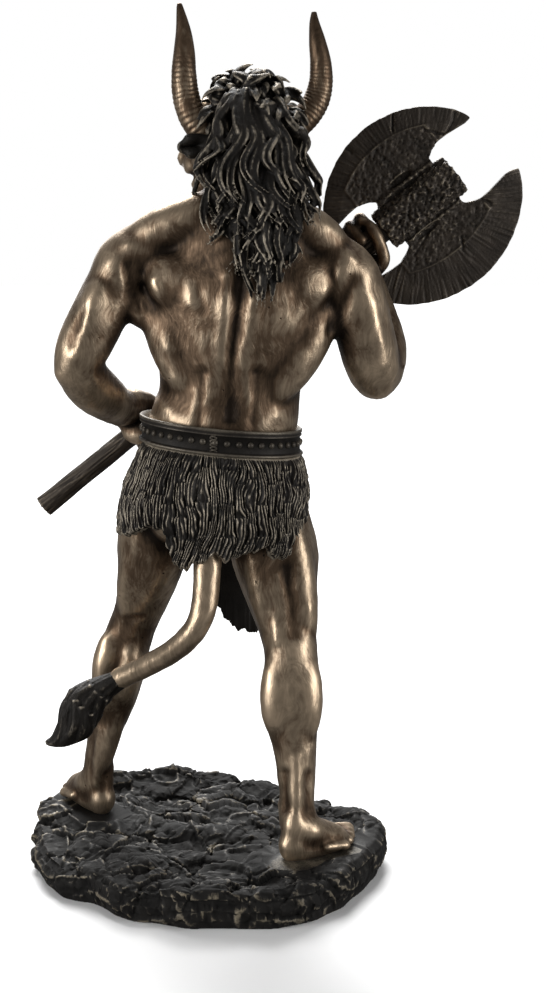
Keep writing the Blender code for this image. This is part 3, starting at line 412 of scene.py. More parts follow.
def roughened(mesh, layers, where=None):
    """Lifts the surface by layers of (wavelength, height, shape); shape is lumps, ridges or pits."""
    points, normals = coordinates(mesh), coordinates(mesh, "normals")
    lift = np.zeros(len(points))
    for number, (wavelength, height, shape) in enumerate(layers):
        scaled = points / wavelength + number * 7.3
        if shape == "pits":
            found = np.array([noise.voronoi(p)[0][0] for p in scaled])
            lift -= height * np.clip(1 - found * 2.2, 0, 1)
        else:
            found = np.array([noise.noise(p) for p in scaled])
            lift += height * (found if shape == "lumps" else 0.5 - 2 * np.abs(found))
    if where is not None:
        lift *= where(points)
    mesh.vertices.foreach_set("co", (points + normals * lift[:, None]).astype(np.float32).ravel())
    mesh.update()
    return mesh


def add_piece(name, mesh, finish, node):
    """Shows a mesh as a piece of the statue, in place of the solid that it dresses."""
    mesh.name = name
    mesh.materials.clear()
    mesh.materials.append(finish)
    mesh.shade_smooth()
    obj = bpy.data.objects.new(name, mesh)
    bpy.context.scene.collection.objects.link(obj)
    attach(obj, "root")
    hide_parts(node)
    return obj


# The figure


def u(value):
    """A length of the figure, from its share."""
    return value * UNIT


def stations(rows):
    """Places and radii of a limb, from rows of x, y, z and radius in shares."""
    return [(place(x, y, z), u(r)) for x, y, z, r in rows]


def add_trunk(bm):
    """The torso as one loft of ovals, each a row of x, y, z, half width and half depth."""
    ovals = [
        (-4.5, 2, 112, 22, 15.5), (-4.5, 2, 120, 25, 17), (-4.7, 1.5, 130, 25.5, 17.5),
        (-5.7, 0, 141, 25.4, 18.2),
        (-6.6, 0, 149, 25.8, 19.2), (-8.8, 0, 158, 24.2, 17.6), (-9.9, 0.5, 168, 25.4, 18.6),
        (-12.0, 1, 180, 29.0, 20.0), (-12.8, 1.5, 192, 31.5, 20.0), (-13.4, 2, 202, 28, 17.5),
        (-14.6, 3.5, 210, 24, 15.5), (-16.0, 2.5, 220, 17.5, 15), (-16.5, -1, 232, 14.5, 14.5),
        (-16.5, -3, 240, 10, 10),
    ]
    rings = []
    for x, y, z, half_width, half_depth in smooth_path(ovals, 3):
        turns = [2 * math.pi * i / 32 for i in range(32)]
        rings.append([place(x + half_width * math.cos(a), y + half_depth * math.sin(a), z) for a in turns])
    skin(bm, rings)


def add_arms(bm):
    left = [
        (16, 3, 206, 9), (23.6, 2.5, 204.5, 9.4), (30.4, 3, 193, 9.7), (35.6, 4.5, 183, 9.8),
        (40.4, 6, 173.5, 9.4), (43.2, 6, 166.5, 8.0),
    ]
    limb(bm, stations(left))
    blob(bm, place(27.6, 1.5, 199), (u(11.6), u(10.0), u(13.8)), place(40, 6, 165) - place(24, 2, 204))
    blob(bm, place(21.0, 3, 187), (u(8), u(5), u(7.5)))
    blob(bm, place(-42.5, 3, 182.5), (u(7.5), u(4.6), u(6.5)))
    spindle(bm, place(33, 9, 196), place(40, 10, 172), u(6.5), u(6))
    spindle(bm, place(30, -3, 192), place(36, 0, 174), u(7), u(6.5))
    blob(bm, place(45.6, 8, 166), (u(4.5), u(4.5), u(5)))
    left_fore = [
        (42.2, 5, 166.5, 8.4), (38.8, -2, 159.5, 8.8), (34.6, -10, 154.4, 8.2), (31.4, -17, 150.6, 7.0),
        (27.4, -24, 148.6, 6.2),
    ]
    limb(bm, stations(left_fore))
    spindle(bm, place(42, 0, 163), place(34, -14, 150), u(6.5), u(6))
    right = [
        (-40, 3, 202, 9.5), (-47, 2, 199.5, 10.4), (-51.4, 2, 190, 10.4), (-54.2, 0, 179.6, 10.2),
        (-56.8, -2, 169.6, 10.0), (-58.8, -5, 162.6, 9.0),
    ]
    limb(bm, stations(right))
    blob(bm, place(-49.4, 1.5, 195), (u(11.8), u(11.0), u(13.6)), place(-58, -4, 165) - place(-48, 2, 203))
    spindle(bm, place(-52.5, 7, 190), place(-57, 2.5, 168), u(7), u(6))
    blob(bm, place(-59.4, -2, 159.6), (u(5), u(5.5), u(5)))
    right_fore = [
        (-59.5, -6, 163.0, 8.8), (-62.0, -14, 170.0, 8.4), (-61.4, -21, 178.6, 7.1), (-59.2, -25.2, 187.4, 5.9),
        (-57.2, -27.8, 195.0, 5.3),
    ]
    limb(bm, stations(right_fore))
    spindle(bm, place(-64, -10, 166), place(-62, -21, 181), u(6), u(6))


def add_leg(bm, rows, muscles, bones):
    """One leg: its limb, then the muscles of calf and thigh as spindles, and the bones at knee and ankle."""
    limb(bm, stations(rows), steps=5)
    for a, b, wide, deep in muscles:
        spindle(bm, place(*a), place(*b), u(wide), u(deep))
    for centre, radius in bones:
        blob(bm, place(*centre), (u(radius),) * 3)


def add_legs(bm):
    left = [
        (11.6, -1, 128, 12.6), (13.8, -2, 118.3, 13.8), (17.8, -5, 105.2, 13.5), (19.9, -7, 94.0, 11.6),
        (22.9, -10, 82.4, 9.5), (25.8, -13, 74.3, 8.6), (29.3, -14.5, 64.5, 9.0), (31.5, -14, 55.0, 9.2),
        (33.6, -15, 45.0, 8.2), (36.2, -17, 36.1, 6.9), (39.0, -18.5, 26.3, 5.8), (40.4, -19.5, 19.1, 5.5),
        (41.0, -20, 9.9, 5.6),
    ]
    left_muscles = [
        ((26.4, -9.5, 70), (30.8, -10, 44), 6.0, 5.8), ((34.2, -9.5, 70), (37.0, -11, 42), 6.0, 5.4),
        ((31, -10, 48), (39, -14.5, 16), 4.0, 3.6), ((10, 4, 118), (23, -5, 80), 7.5, 7.0),
        ((21, 3, 116), (28, -7, 78), 6.0, 6.0), ((21, -14, 116), (25, -19, 84), 9.0, 6.5),
    ]
    add_leg(bm, left, left_muscles, [((26.5, -20.5, 72), 5.2), ((44.6, -19.5, 14.5), 2.6), ((36.6, -20, 16), 2.5)])
    right = [
        (-19.0, 0, 129, 13.0), (-21.0, 0, 118.6, 14.2), (-24.2, 3, 101.6, 15.4), (-25.9, 6, 91.4, 13.4),
        (-27.7, 9, 81.5, 11.0), (-28.7, 12, 75.2, 9.8), (-29.8, 14, 69.7, 9.4), (-29.7, 15.5, 59.2, 10.0),
        (-29.9, 16, 52.4, 10.0), (-30.2, 17, 44.5, 9.0), (-31.1, 18.5, 37.0, 7.8), (-31.6, 20, 26.6, 6.8),
        (-31.8, 21, 19.7, 6.2), (-31.2, 22, 11.5, 6.2),
    ]
    right_muscles = [
        ((-25.6, 18, 70), (-24.8, 21, 43), 6.4, 6.0), ((-34.0, 18, 70), (-35.0, 21, 42), 6.4, 5.8),
        ((-29.8, 20, 48), (-31.5, 25.5, 14), 4.2, 3.8), ((-16, 9, 116), (-24.6, 14, 74), 6.8, 6.5),
        ((-29, 10, 116), (-34.5, 14, 72), 6.8, 6.5), ((-27, -6, 114), (-29, 2, 82), 10.0, 7),
    ]
    add_leg(bm, right, right_muscles, [((-30.5, 6.5, 73), 5.4), ((-27.2, 19, 17), 2.6), ((-36.2, 21.5, 15), 2.6)])
    for x, z in ((8.5, 118), (-18.5, 117)):
        blob(bm, place(x, 9.5, z), (u(11.5), u(11.5), u(12)))


def add_foot(bm, heel, toe, inner):
    """A bare foot from the back of its heel to its longest toe. Inner is +1 where the big toe is to the left."""
    length = (toe - heel).length
    forward = (toe - heel).normalized()
    up = Vector((0, 0, 1))
    side = up.cross(forward) * inner

    def spot(along, across, height):
        return heel + (forward * along + side * across + up * height) * length

    blob(bm, spot(0.15, 0, 0.13), (length * 0.15, length * 0.135, length * 0.17), up, forward)
    blob(bm, spot(0.17, 0, 0.30), (length * 0.13, length * 0.125, length * 0.18), up, forward)
    instep = [(0.26, 0.0, 0.27, 0.155), (0.45, 0.02, 0.17, 0.150), (0.66, 0.0, 0.095, 0.125)]
    sole = [(0.16, 0.0, 0.075, 0.10), (0.42, -0.03, 0.07, 0.10), (0.70, 0.0, 0.07, 0.10)]
    for rows, wide in ((instep, 1.2), (sole, 1.3)):
        limb(bm, [(spot(*row[:3]), length * row[3]) for row in rows], wide=wide, near=up)
    for i in range(5):
        across = 0.150 - 0.078 * i
        reach = 0.955 - 0.020 * i - 0.012 * i * i
        radius = length * (0.068 if i == 0 else 0.052 - 0.002 * i)
        knuckle = spot(reach - 0.20, across * 0.95, 0.085)
        limb(bm, [(knuckle, radius), (spot(reach - 0.06, across, 0.062), radius * 0.95)], sides=8, steps=2)


LEFT_FOOT = (place(36.5, -13.5, 0), place(56.5, -47.5, 0), -1)
RIGHT_FOOT = (place(-26.0, 30.0, 0), place(-55.5, 7.5, 0), 1)


def add_fist(bm, grip, back, size=1.0):
    """A hand closed round the handle, thumb towards the axe head. Back is the way its back faces."""
    finger = u(2.6) * size
    back = (back - HANDLE_LINE * back.dot(HANDLE_LINE)).normalized()
    over = -BLADE_LINE
    over = (over - back * over.dot(back)).normalized()
    reach = HANDLE_RADIUS + finger * 0.82

    def around(slide, degrees, out):
        angle = math.radians(degrees)
        return grip + HANDLE_LINE * slide + (back * math.cos(angle) + over * math.sin(angle)) * out

    for slide, degrees, wide, long in ((-u(0.6), -8, 3.0, u(8.4)), (u(1.2), -62, 1.9, u(7.0))):
        palm = around(slide, degrees, HANDLE_RADIUS + finger * 0.95)
        blob(bm, palm, (finger * 1.5, finger * wide, long * size), HANDLE_LINE, back)
    for i in range(4):
        slide = (1.42 - i) * u(4.0) * size
        thick = finger * (1.0, 1.04, 0.98, 0.86)[i]
        arc = []
        for step in range(9):
            joint = thick * 0.3 if step in (2, 5) else 0
            arc.append((around(slide, 14 + 28 * step, reach + joint), thick))
        limb(bm, arc, sides=8, steps=1)
        blob(bm, around(slide, 46, reach + thick * 0.5), (thick * 1.1,) * 3)
    thumb = []
    for step in range(6):
        spot = around(u(4.6 + 0.5 * step) * size, -58 - 26 * step, reach + finger * 0.35)
        thumb.append((spot, finger * (1.3 - 0.06 * step)))
    limb(bm, thumb, sides=8, steps=2)


def add_tail(bm):
    rows = [
        (-2.5, 12, 122, 5.6), (-2.0, 16.5, 113, 5.4), (-1.6, 19.5, 104, 5.1), (-1.2, 22, 95, 4.9),
        (-0.4, 23.5, 88.0, 4.7), (1.8, 24, 81.7, 4.5), (5.6, 22.5, 76.5, 4.4), (10.8, 19, 71.2, 4.3),
        (16.8, 14.5, 66.6, 4.2), (23.4, 9.5, 61.8, 4.1), (30.3, 5, 57.6, 4.2),
    ]
    limb(bm, stations(rows), steps=5)


HEAD = place(-16.5, -8.0, 243.5)
TURN = math.radians(33)
HEAD_AXES = Matrix.Rotation(TURN, 3, "Z")


def head_place(left, forward, up):
    """A point of the head, from shares measured from its middle along its own axes."""
    return HEAD + HEAD_AXES @ (Vector((left, -forward, up)) * UNIT)


def head_stations(rows):
    return [(head_place(l, f, h), u(r)) for l, f, h, r in rows]


def horn_rows():
    """Each horn's path, left then right, in shares of the figure."""
    left = [
        (-5.5, -4, 238.0, 4.6), (-0.6, -3.2, 243.8, 4.7), (3.6, -3, 250.4, 4.6), (5.6, -4, 257.2, 4.4),
        (6.1, -5, 264.0, 4.1), (6.0, -6.5, 270.5, 3.6), (6.3, -8.5, 277.5, 2.6), (7.5, -10.5, 285.2, 1.2),
        (7.7, -10.8, 286.2, 0.9),
    ]
    right = [
        (-27.5, -10, 244.5, 4.5), (-33.4, -10.4, 248.6, 4.6), (-37.8, -11, 254.5, 4.4), (-39.6, -11.5, 260.8, 4.0),
        (-39.6, -12, 267.4, 3.6), (-38.5, -12.5, 274.2, 2.9), (-37.5, -14, 280.4, 1.8), (-37.3, -15, 284.2, 0.9),
    ]
    return left, right


def add_back(bm):
    """The broad masses of the back: columns beside the spine, lats, shoulder blades and trapezius."""
    for side in (-1, 1):
        column = [(-11.0 + side * 7, 14.0, 190, 5.5), (-9.6 + side * 7, 13.5, 176, 5.5)]
        column += [(-8.6 + side * 7, 12.6, 160, 5.8), (-6.5 + side * 8, 12.6, 146, 6.2)]
        limb(bm, stations(column))
    spindle(bm, place(17, 3, 193), place(3, 10.5, 158), u(8.6), u(7.6))
    spindle(bm, place(-42.5, 3, 192), place(-24, 10.5, 158), u(9.2), u(7.6))
    spindle(bm, place(17, 8.0, 200), place(-4, 12.5, 190), u(10), u(7.0))
    spindle(bm, place(-41, 9.0, 200), place(-22, 12.5, 189), u(10), u(7.0))
    spindle(bm, place(-13.5, 12.5, 222), place(-11, 15.5, 184), u(12), u(7))
    spindle(bm, place(-12, 8, 222.5), place(25, 4.5, 208), u(8), u(8))
    spindle(bm, place(-20, 8, 221), place(-47, 5, 206.5), u(8), u(8))
    spindle(bm, place(-16, 6, 236), place(-16, 8, 214), u(14), u(12))


def add_front(bm):
    """The broad masses of chest, belly and flanks."""
    for centre, outer in ((0.5, 20), (-26.5, -45)):
        spindle(bm, place(centre, -11.5, 191), place(outer, -8, 198), u(12), u(8))
        blob(bm, place(centre, -11.5, 190), (u(7.6), u(13), u(9.5)))
    for x in (9.5, -23):
        blob(bm, place(x, -1.5, 152), (u(15), u(8), u(9)))
    limb(bm, stations([(-12.5, -10.5, 184, 11), (-11, -11.5, 170, 11), (-8, -11.5, 152, 11.5), (-6, -9, 140, 11)]))


def add_face(bm):
    """A bull's face: broad skull, heavy brow, short deep muzzle, wide nose and square jaw."""
    ahead = head_place(0, 1, 0) - head_place(0, 0, 0)
    rise = head_place(0, 0, 1) - head_place(0, 0, 0)
    blob(bm, head_place(0, -1, 2), (u(13.5), u(14.5), u(14)), rise, ahead)
    nose = [(0, 3, 4.5, 13.2), (0, 9, 2.4, 12.4), (0, 15, -1.4, 11.2), (0, 19.5, -5.0, 10.6), (0, 22, -7.6, 10.2)]
    limb(bm, head_stations(nose), near=rise, sides=20)
    blob(bm, head_place(0, 24.4, -9.6), (u(7.8), u(12.4), u(7.0)), rise, ahead)
    jaw = [(0, 0, -9, 11.2), (0, 9, -13.0, 10.4), (0, 16, -16.0, 8.8), (0, 20, -17.0, 7.8)]
    limb(bm, head_stations(jaw), near=rise, sides=20)
    blob(bm, head_place(0, 24.0, -16.2), (u(7.0), u(9.6), u(3.6)), rise, ahead)
    blob(bm, head_place(0, 22.0, -20.0), (u(6.4), u(7.6), u(4.0)), rise, ahead)
    for side in (-1, 1):
        brow = [(side * 2.0, 15.8, 9.4, 2.8), (side * 7.4, 15.2, 9.8, 3.8), (side * 13.4, 9, 8.4, 3.4)]
        limb(bm, head_stations(brow), sides=12)
        blob(bm, head_place(side * 10.0, 5, -6), (u(10), u(6.4), u(9.4)), rise, ahead)
        blob(bm, head_place(side * 7.2, 29.6, -7.4), (u(3.8), u(4.8), u(3.8)), rise, ahead)
        cheek = [(side * 11.6, 9.6, -0.8, 2.6), (side * 11.0, 15.5, -4.0, 2.3), (side * 10.6, 19.5, -8.0, 2.0)]
        limb(bm, head_stations(cheek), sides=10)


def add_eyes(bm):
    """The eyeballs, in their lids, and the rims of the nostrils."""
    for side in (-1, 1):
        blob(bm, head_place(side * 10.2, 13.8, 4.2), (u(2.5),) * 3)
        for height, lift in ((6.6, 0.4), (1.9, -0.4)):
            lid = [(side * 7.2, 16.0, 4.2, 0.8), (side * 10.6, 15.6, height, 1.05), (side * 13.4, 11.8, 4.4 + lift, 0.8)]
            limb(bm, head_stations(lid), sides=8)
        rim = []
        for k in range(7):
            angle = math.radians(-40 + 45 * k)
            spot = (side * (7.6 + 2.5 * math.cos(angle)), 32.6 - 1.6 * abs(math.cos(angle)), -8.0 + 2.4 * math.sin(angle), 0.8)
            rim.append(spot)
        limb(bm, head_stations(rim), sides=8, steps=3)


def face_strokes():
    """Nostrils, the line of the mouth, the groove between the eyes and the wrinkles of the nose."""
    marks = []
    for side in (-1, 1):
        marks.append(([head_place(side * 7.0, 33.4, -8.4), head_place(side * 8.4, 32.6, -7.6)], u(1.7), -u(3.4)))
        mouth = [head_place(0, 32.2, -14.6), head_place(side * 7.5, 29.0, -14.6), head_place(side * 12.4, 19, -12.2)]
        marks.append((mouth, u(1.0), -u(1.8)))
        socket = [head_place(side * 7.6, 17.6, 4.6), head_place(side * 12.4, 14.6, 4.4)]
        marks.append((socket, u(2.6), -u(1.8)))
        for i in range(4):
            forward, height = 22.5 - i * 2.2, 4.6 + i * 1.2
            fold = [head_place(0, forward + 3, height + 1.4), head_place(side * 5.6, forward + 1, height - 0.6)]
            marks.append((fold, u(0.8), u(0.5) if i % 2 else -u(0.6)))
        marks.append(([head_place(side * 12.4, 20, -7), head_place(side * 14.6, 12, -10)], u(1.2), -u(0.8)))
        marks.append(([head_place(side * 5.0, 25, 1.6), head_place(side * 5.6, 30, -3.4)], u(1.2), u(0.6)))
    marks.append(([head_place(0, 17, 11.4), head_place(0, 21, 6.0)], u(1.6), -u(0.7)))
    marks.append(([head_place(0, 33.6, -12.0), head_place(0, 34.4, -6)], u(0.9), -u(1.0)))
    return marks


# Each ear: its root, its tip, the way its hollow faces, and how wide it is
EARS = (
    ((-5.0, 1.5, 241.0), (6.4, 3.4, 239.6), (0.35, 1.0, -0.15), 1.12),
    ((-24.0, 3.0, 243.0), (-34.0, 10.0, 240.2), (-0.1, 1.0, 0.1), 1.45),
)


def ears_mesh(voxel):
    """Rounded ears that stand out below the horns, each hollowed, with a thick rolled rim."""
    bm = bmesh.new()
    marks = []
    for root, tip, facing, wide in EARS:
        root, tip, facing = place(*root), place(*tip), Vector(facing).normalized()
        path = [(0.0, 2.2, 0.0), (0.3, 3.1, 0.3), (0.6, 3.9, 0.5), (0.85, 3.7, 0.3), (1.0, 2.4, 0.0)]
        spots = [(root.lerp(tip, t) + facing * bow * UNIT, u(r)) for t, r, bow in path]
        limb(bm, spots, sides=18, steps=5, wide=wide, near=facing)
        hollow = [root.lerp(tip, 0.40) + facing * u(4.0), root.lerp(tip, 0.82) + facing * u(4.0)]
        marks.append((hollow, u(2.9), -u(4.6)))
        marks.append((([root.lerp(tip, 0.30) + facing * u(3.4), root.lerp(tip, 0.72) + facing * u(1.4)]), u(0.9), u(0.8)))
    return tooled(melted(bm, voxel, 4, "ears"), marks)


# Tool marks in the flesh: each row holds a path in shares, a width and a height, raised or cut
BACK_MARKS = [
    ([(-14.2, 21, 200), (-12.2, 22, 188), (-10.6, 21.5, 176), (-9.2, 20.5, 164), (-9.4, 20, 152)], 2.3, -2.3),
    ([(-8.4, 20.5, 198), (-7.6, 21, 186), (-6.4, 20.5, 172), (-5.2, 20, 160)], 2.2, 0.8),
    ([(-17.6, 20.5, 190), (-15.4, 21, 176), (-14.0, 20, 160)], 2.2, 0.7),
    ([(0.4, 18.5, 166), (0.8, 18.5, 156), (1.6, 18.5, 147)], 2.4, -1.2),
    ([(-18.6, 18.5, 166), (-18.2, 18.5, 156), (-17.0, 18.5, 147)], 2.4, -1.2),
    ([(11.2, 16.5, 163), (11.8, 16, 152)], 3.0, 0.9),
    ([(-25.6, 16.5, 163), (-25.6, 16, 152)], 3.0, 0.9),
    ([(15.6, 14.5, 196), (14.4, 15.5, 186), (11.4, 16, 175)], 3.0, 1.5),
    ([(-48.0, 11, 203), (-44.4, 14.5, 196), (-40.0, 16, 187)], 3.2, 1.5),
    ([(-40.0, 14.5, 181), (-35.0, 16.5, 175), (-29.0, 18, 168)], 3.0, 1.0),
    ([(2.4, 20, 204), (1.4, 20.5, 195), (-0.6, 20.5, 187)], 1.5, -0.7),
    ([(5.6, 19, 206), (4.8, 19.6, 198), (4.0, 19.6, 190)], 2.0, 0.8),
    ([(-31.6, 19.5, 202), (-32.4, 19.5, 194), (-30.4, 19.5, 187)], 1.6, -0.7),
    ([(24.0, 12, 208), (14, 16.5, 206), (5, 18, 208)], 2.4, 0.8),
    ([(-47.0, 12, 207), (-38, 16, 206), (-29, 18, 208)], 2.4, 0.8),
    ([(24.5, 12.5, 201), (22.8, 12, 194), (20.8, 10, 187)], 2.2, -1.6),
    ([(-49.6, 12, 196), (-46.6, 12, 188), (-43.4, 10, 180)], 2.2, -1.4),
]

FRONT_MARKS = [
    ([(-12.8, -22, 203), (-13, -22, 190), (-12.5, -23, 178)], 1.7, -1.5),
    ([(-12.5, -23, 178), (-10.5, -23, 164), (-8.4, -23, 150)], 1.5, -1.3),
    ([(-15, -22, 182), (-24, -20, 181), (-36, -15, 185)], 1.9, -1.6),
    ([(-10, -22, 182), (-1, -20, 181), (11, -15, 185)], 1.9, -1.6),
    ([(-17.5, -22, 173), (-11.5, -23, 174), (-4.5, -22, 173)], 1.3, -0.9),
    ([(-17.0, -22, 163.5), (-10.8, -23, 164), (-3.4, -22, 163.5)], 1.3, -0.9),
    ([(-15.6, -22, 154), (-9.6, -23, 154), (-2.0, -22, 154)], 1.3, -0.8),
    ([(-22, -20, 176), (-20.5, -20, 164), (-18, -20, 150)], 1.8, -1.2),
    ([(0, -20, 176), (0.4, -20, 164), (2, -20, 150)], 1.8, -1.2),
    ([(-34.5, -13.5, 176), (-29, -16, 172)], 1.6, 0.7),
    ([(-33, -13.5, 169), (-28, -16, 166)], 1.6, 0.7),
    ([(11, -13.5, 176), (6.5, -16, 172)], 1.6, 0.7),
    ([(10, -13.5, 169), (6, -16, 166)], 1.6, 0.7),
    ([(-9.0, -23.5, 158), (-9.0, -23.5, 157)], 1.4, -1.6),
]

LIMB_MARKS = [
    ([(-29.6, 24.5, 79), (-36.6, 24, 77.4), (-41.5, 20, 80)], 1.5, -0.9),
    ([(-29.6, 27.5, 70), (-30.4, 28, 60), (-31.2, 27.5, 50)], 1.9, -1.1),
    ([(-24.0, 20, 84), (-24.6, 21, 76)], 1.7, 0.9),
    ([(-36.4, 19, 86), (-36.6, 20, 77)], 1.7, 0.9),
    ([(-28.0, 17, 100), (-30.5, 20, 86), (-30.8, 22, 78)], 2.4, -0.9),
    ([(-31.4, 26.5, 36), (-31.8, 27, 24), (-31.4, 27.5, 14)], 1.5, 0.8),
    ([(-27.6, 25, 30), (-27.8, 25.5, 18)], 1.6, -0.9),
    ([(-35.8, 25, 30), (-35.8, 25.5, 18)], 1.6, -0.9),
    ([(28.5, -3.5, 74), (31.0, -4, 62), (33.5, -5, 52)], 1.9, -1.0),
    ([(22.8, -1.5, 78), (28.5, -3, 76.5)], 1.5, -0.8),
    ([(38.6, -11.5, 34), (40.4, -13, 22), (41.0, -14, 12)], 1.5, 0.8),
    ([(36.4, -13, 28), (37.4, -14, 16)], 1.5, -0.8),
    ([(40.0, 15, 186), (43.4, 15, 176)], 2.2, -0.8),
    ([(34.0, 13.5, 194), (38.6, 15.5, 182), (42, 15, 172)], 2.4, 0.6),
    ([(-55.0, 12.5, 192), (-58.4, 9.5, 180), (-60, 6.5, 168)], 2.4, 0.6),
]


def body_strokes():
    """Every tool mark of the flesh, in metres."""
    marks = BACK_MARKS + FRONT_MARKS + LIMB_MARKS
    return [([place(*p) for p in path], u(width), u(height)) for path, width, height in marks]


def horn_mesh(rows, ring_share=0.62, rings=24, sides=48, steps=30):
    """One horn: ridged rings up its lower part, a fluted surface and a smooth tip."""
    path = smooth_path([(*place(*row[:3]), u(row[3])) for row in rows], steps)
    points = [Vector(p[:3]) for p in path]
    bm = bmesh.new()
    made = []
    for i, point in enumerate(points):
        share = i / (len(points) - 1)
        before, after = points[max(i - 1, 0)], points[min(i + 1, len(points) - 1)]
        deep, across = square_to(after - before)
        fade = min(max((ring_share - share) / 0.2, 0), 1)
        wave = abs(math.sin(math.pi * rings * share / ring_share * (1 - 0.12 * share)))
        ridge = fade * (0.060 * wave**0.6 - 0.02)
        ring = []
        for j in range(sides):
            a = 2 * math.pi * j / sides
            grain = 0.020 * noise.noise(Vector((math.cos(a) * 3, math.sin(a) * 3, share * 2.5)))
            broken = 1.1 - 1.6 * abs(noise.noise(Vector((math.cos(a) * 1.6, math.sin(a) * 1.6, share * 14))))
            radius = max(path[i][3], 0.0003) * (1 + ridge * broken + grain)
            ring.append(point + (deep * math.cos(a) + across * math.sin(a)) * radius)
        made.append(ring)
    skin(bm, made)
    bmesh.ops.recalc_face_normals(bm, faces=bm.faces)
    mesh = bpy.data.meshes.new("horn")
    bm.to_mesh(mesh)
    bm.free()
    return mesh


def add_nails(bm, heel, toe, inner):
    """A nail on the end of each toe."""
    length = (toe - heel).length
    forward = (toe - heel).normalized()
    up = Vector((0, 0, 1))
    side = up.cross(forward) * inner
    for i in range(5):
        across = 0.150 - 0.078 * i
        reach = 0.955 - 0.020 * i - 0.012 * i * i
        radius = length * (0.068 if i == 0 else 0.052 - 0.002 * i)
        centre = heel + (forward * (reach - 0.035) + side * across) * length + up * (0.062 * length + radius * 0.62)
        blob(bm, centre, (radius * 0.55, radius * 0.62, radius * 0.40), up, forward)


def add_toes(bm, heel, toe, inner):
    """The five toes of a foot."""
    length = (toe - heel).length
    forward = (toe - heel).normalized()
    side = Vector((0, 0, 1)).cross(forward) * inner
    for i in range(5):
        across = 0.150 - 0.078 * i
        reach = 0.955 - 0.020 * i - 0.012 * i * i
        radius = length * (0.070 if i == 0 else 0.054 - 0.002 * i)
        path = []
        for back, height, share in ((0.26, 0.10, 0.9), (0.15, 0.085, 0.95), (0.10, 0.080, 0.9), (0.03, 0.060, 1.0)):
            spot = heel + (forward * (reach - back) + side * across + Vector((0, 0, height))) * length
            path.append((spot, radius * share))
        limb(bm, path, sides=12, steps=3)


def add_right_hand(bm):
    """The right hand: four fingers over the far side of the handle, the thumb along its near side."""
    def spot(slide, over, near):
        return RIGHT_GRIP + HANDLE_LINE * u(slide) - BLADE_LINE * u(over) + HEAD_NORMAL * u(near)

    blob(bm, spot(-1.5, -1.5, -7.0), (u(3.2), u(6.5), u(8.6)), HANDLE_LINE, HEAD_NORMAL)
    blob(bm, spot(-2.5, -6.8, -0.8), (u(6.2), u(3.2), u(7.6)), HANDLE_LINE, HEAD_NORMAL)
    for slide, end in ((6.4, 4), (1.7, 5), (-3.0, 5), (-7.4, 5)):
        curl = [(3, -7.6), (7.4, -5.2), (9.0, -0.4), (7.2, 3.8), (2.8, 6.0)][:end]
        limb(bm, [(spot(slide, over, near), u(2.2)) for over, near in curl], sides=12, steps=3)
        blob(bm, spot(slide, 7.9, -4.4), (u(2.5),) * 3)
    thumb = [(-1.5, -8.6, 3.0, 3.0), (3.6, -7.4, 5.0, 2.6), (6.2, -1.6, 6.2, 2.3), (7.0, 2.6, 5.8, 2.4), (7.2, 5.6, 4.4, 1.9)]
    limb(bm, [(spot(*row[:3]), u(row[3])) for row in thumb], sides=14, steps=4)


# Painted shade and painted highlights on the skin: a place in shares, a radius and how strongly. A strength above zero
# paints shade where the skin is sheltered: under the mane, fur and horns, in the armpits and round the hands. One
# below zero paints a highlight on the calves and the upper arm.
SHADE_AND_LIGHT_SPOTS = [
    ((-19, 21, 206), 15, 0.9), ((-17, 8, 228), 16, 0.8), ((-56, -33, 205), 13, 1.1), ((12, 6, 112), 12, 0.8),
    ((-22, 8, 112), 12, 0.6), ((29, 3, 178), 8, 0.8), ((-46, 3, 174), 8, 0.6), ((34, -12, 160), 12, 0.5),
    ((-10, 19, 150), 7, 0.5), ((20, -25, 146), 10, 0.7), ((-3, 14, 112), 8, 0.5), ((38, -18, 8), 8, 0.3), ((-30, 20, 60), 24, -0.30), ((48, 0, 190), 26, -0.12), ((-33, -1, 240), 7, 0.5), ((-38, -14, 214), 12, 0.5),
    ((-34, 22, 22), 14, -0.25),
]


def with_painted_shade_and_light(mesh):
    """Paints shade into the skin where it is sheltered and highlights where the list asks for them, by lowering or
    raising its relief_form.
    """
    points = coordinates(mesh)
    layer = mesh.attributes["relief_form"]
    values = np.empty(len(points), np.float32)
    layer.data.foreach_get("value", values)
    for spot, radius, amount in SHADE_AND_LIGHT_SPOTS:
        away = np.linalg.norm(points - np.array(place(*spot)), axis=1)
        values -= amount * np.exp(-((away / u(radius)) ** 2))
    layer.data.foreach_set("value", values)
    return mesh


def flesh_mesh(settings):
    """Body, limbs, hands, feet, tail and face as one carved skin."""
    clay = bmesh.new()
    add_trunk(clay)
    add_back(clay)
    add_front(clay)
    add_arms(clay)
    add_legs(clay)
    add_tail(clay)
    add_foot(clay, *LEFT_FOOT)
    add_foot(clay, *RIGHT_FOOT)
    body = tooled(melted(clay, settings.flesh_voxel * 1.15, 26), body_strokes())
    head = bmesh.new()
    add_face(head)
    skull = tooled(melted(head, settings.flesh_voxel, 10), face_strokes())
    whole = bmesh.new()
    join_mesh(whole, body)
    join_mesh(whole, skull)
    add_eyes(whole)
    add_toes(whole, *LEFT_FOOT)
    add_toes(whole, *RIGHT_FOOT)
    add_nails(whole, *LEFT_FOOT)
    add_nails(whole, *RIGHT_FOOT)
    add_fist(whole, LEFT_GRIP, Vector((0.25, 0.9, 0.3)))
    limb(whole, stations([(31, -18, 149.5, 6.6), (26.5, -25, 149.5, 6.4), (21.5, -30, 149.0, 4.8)]))
    add_right_hand(whole)
    cast = carved(whole, settings.flesh_voxel, 3, "flesh", settings.piece_triangles)
    return roughened(cast, ((0.0042, 0.00016, "lumps"), (0.0013, 0.00005, "lumps")))


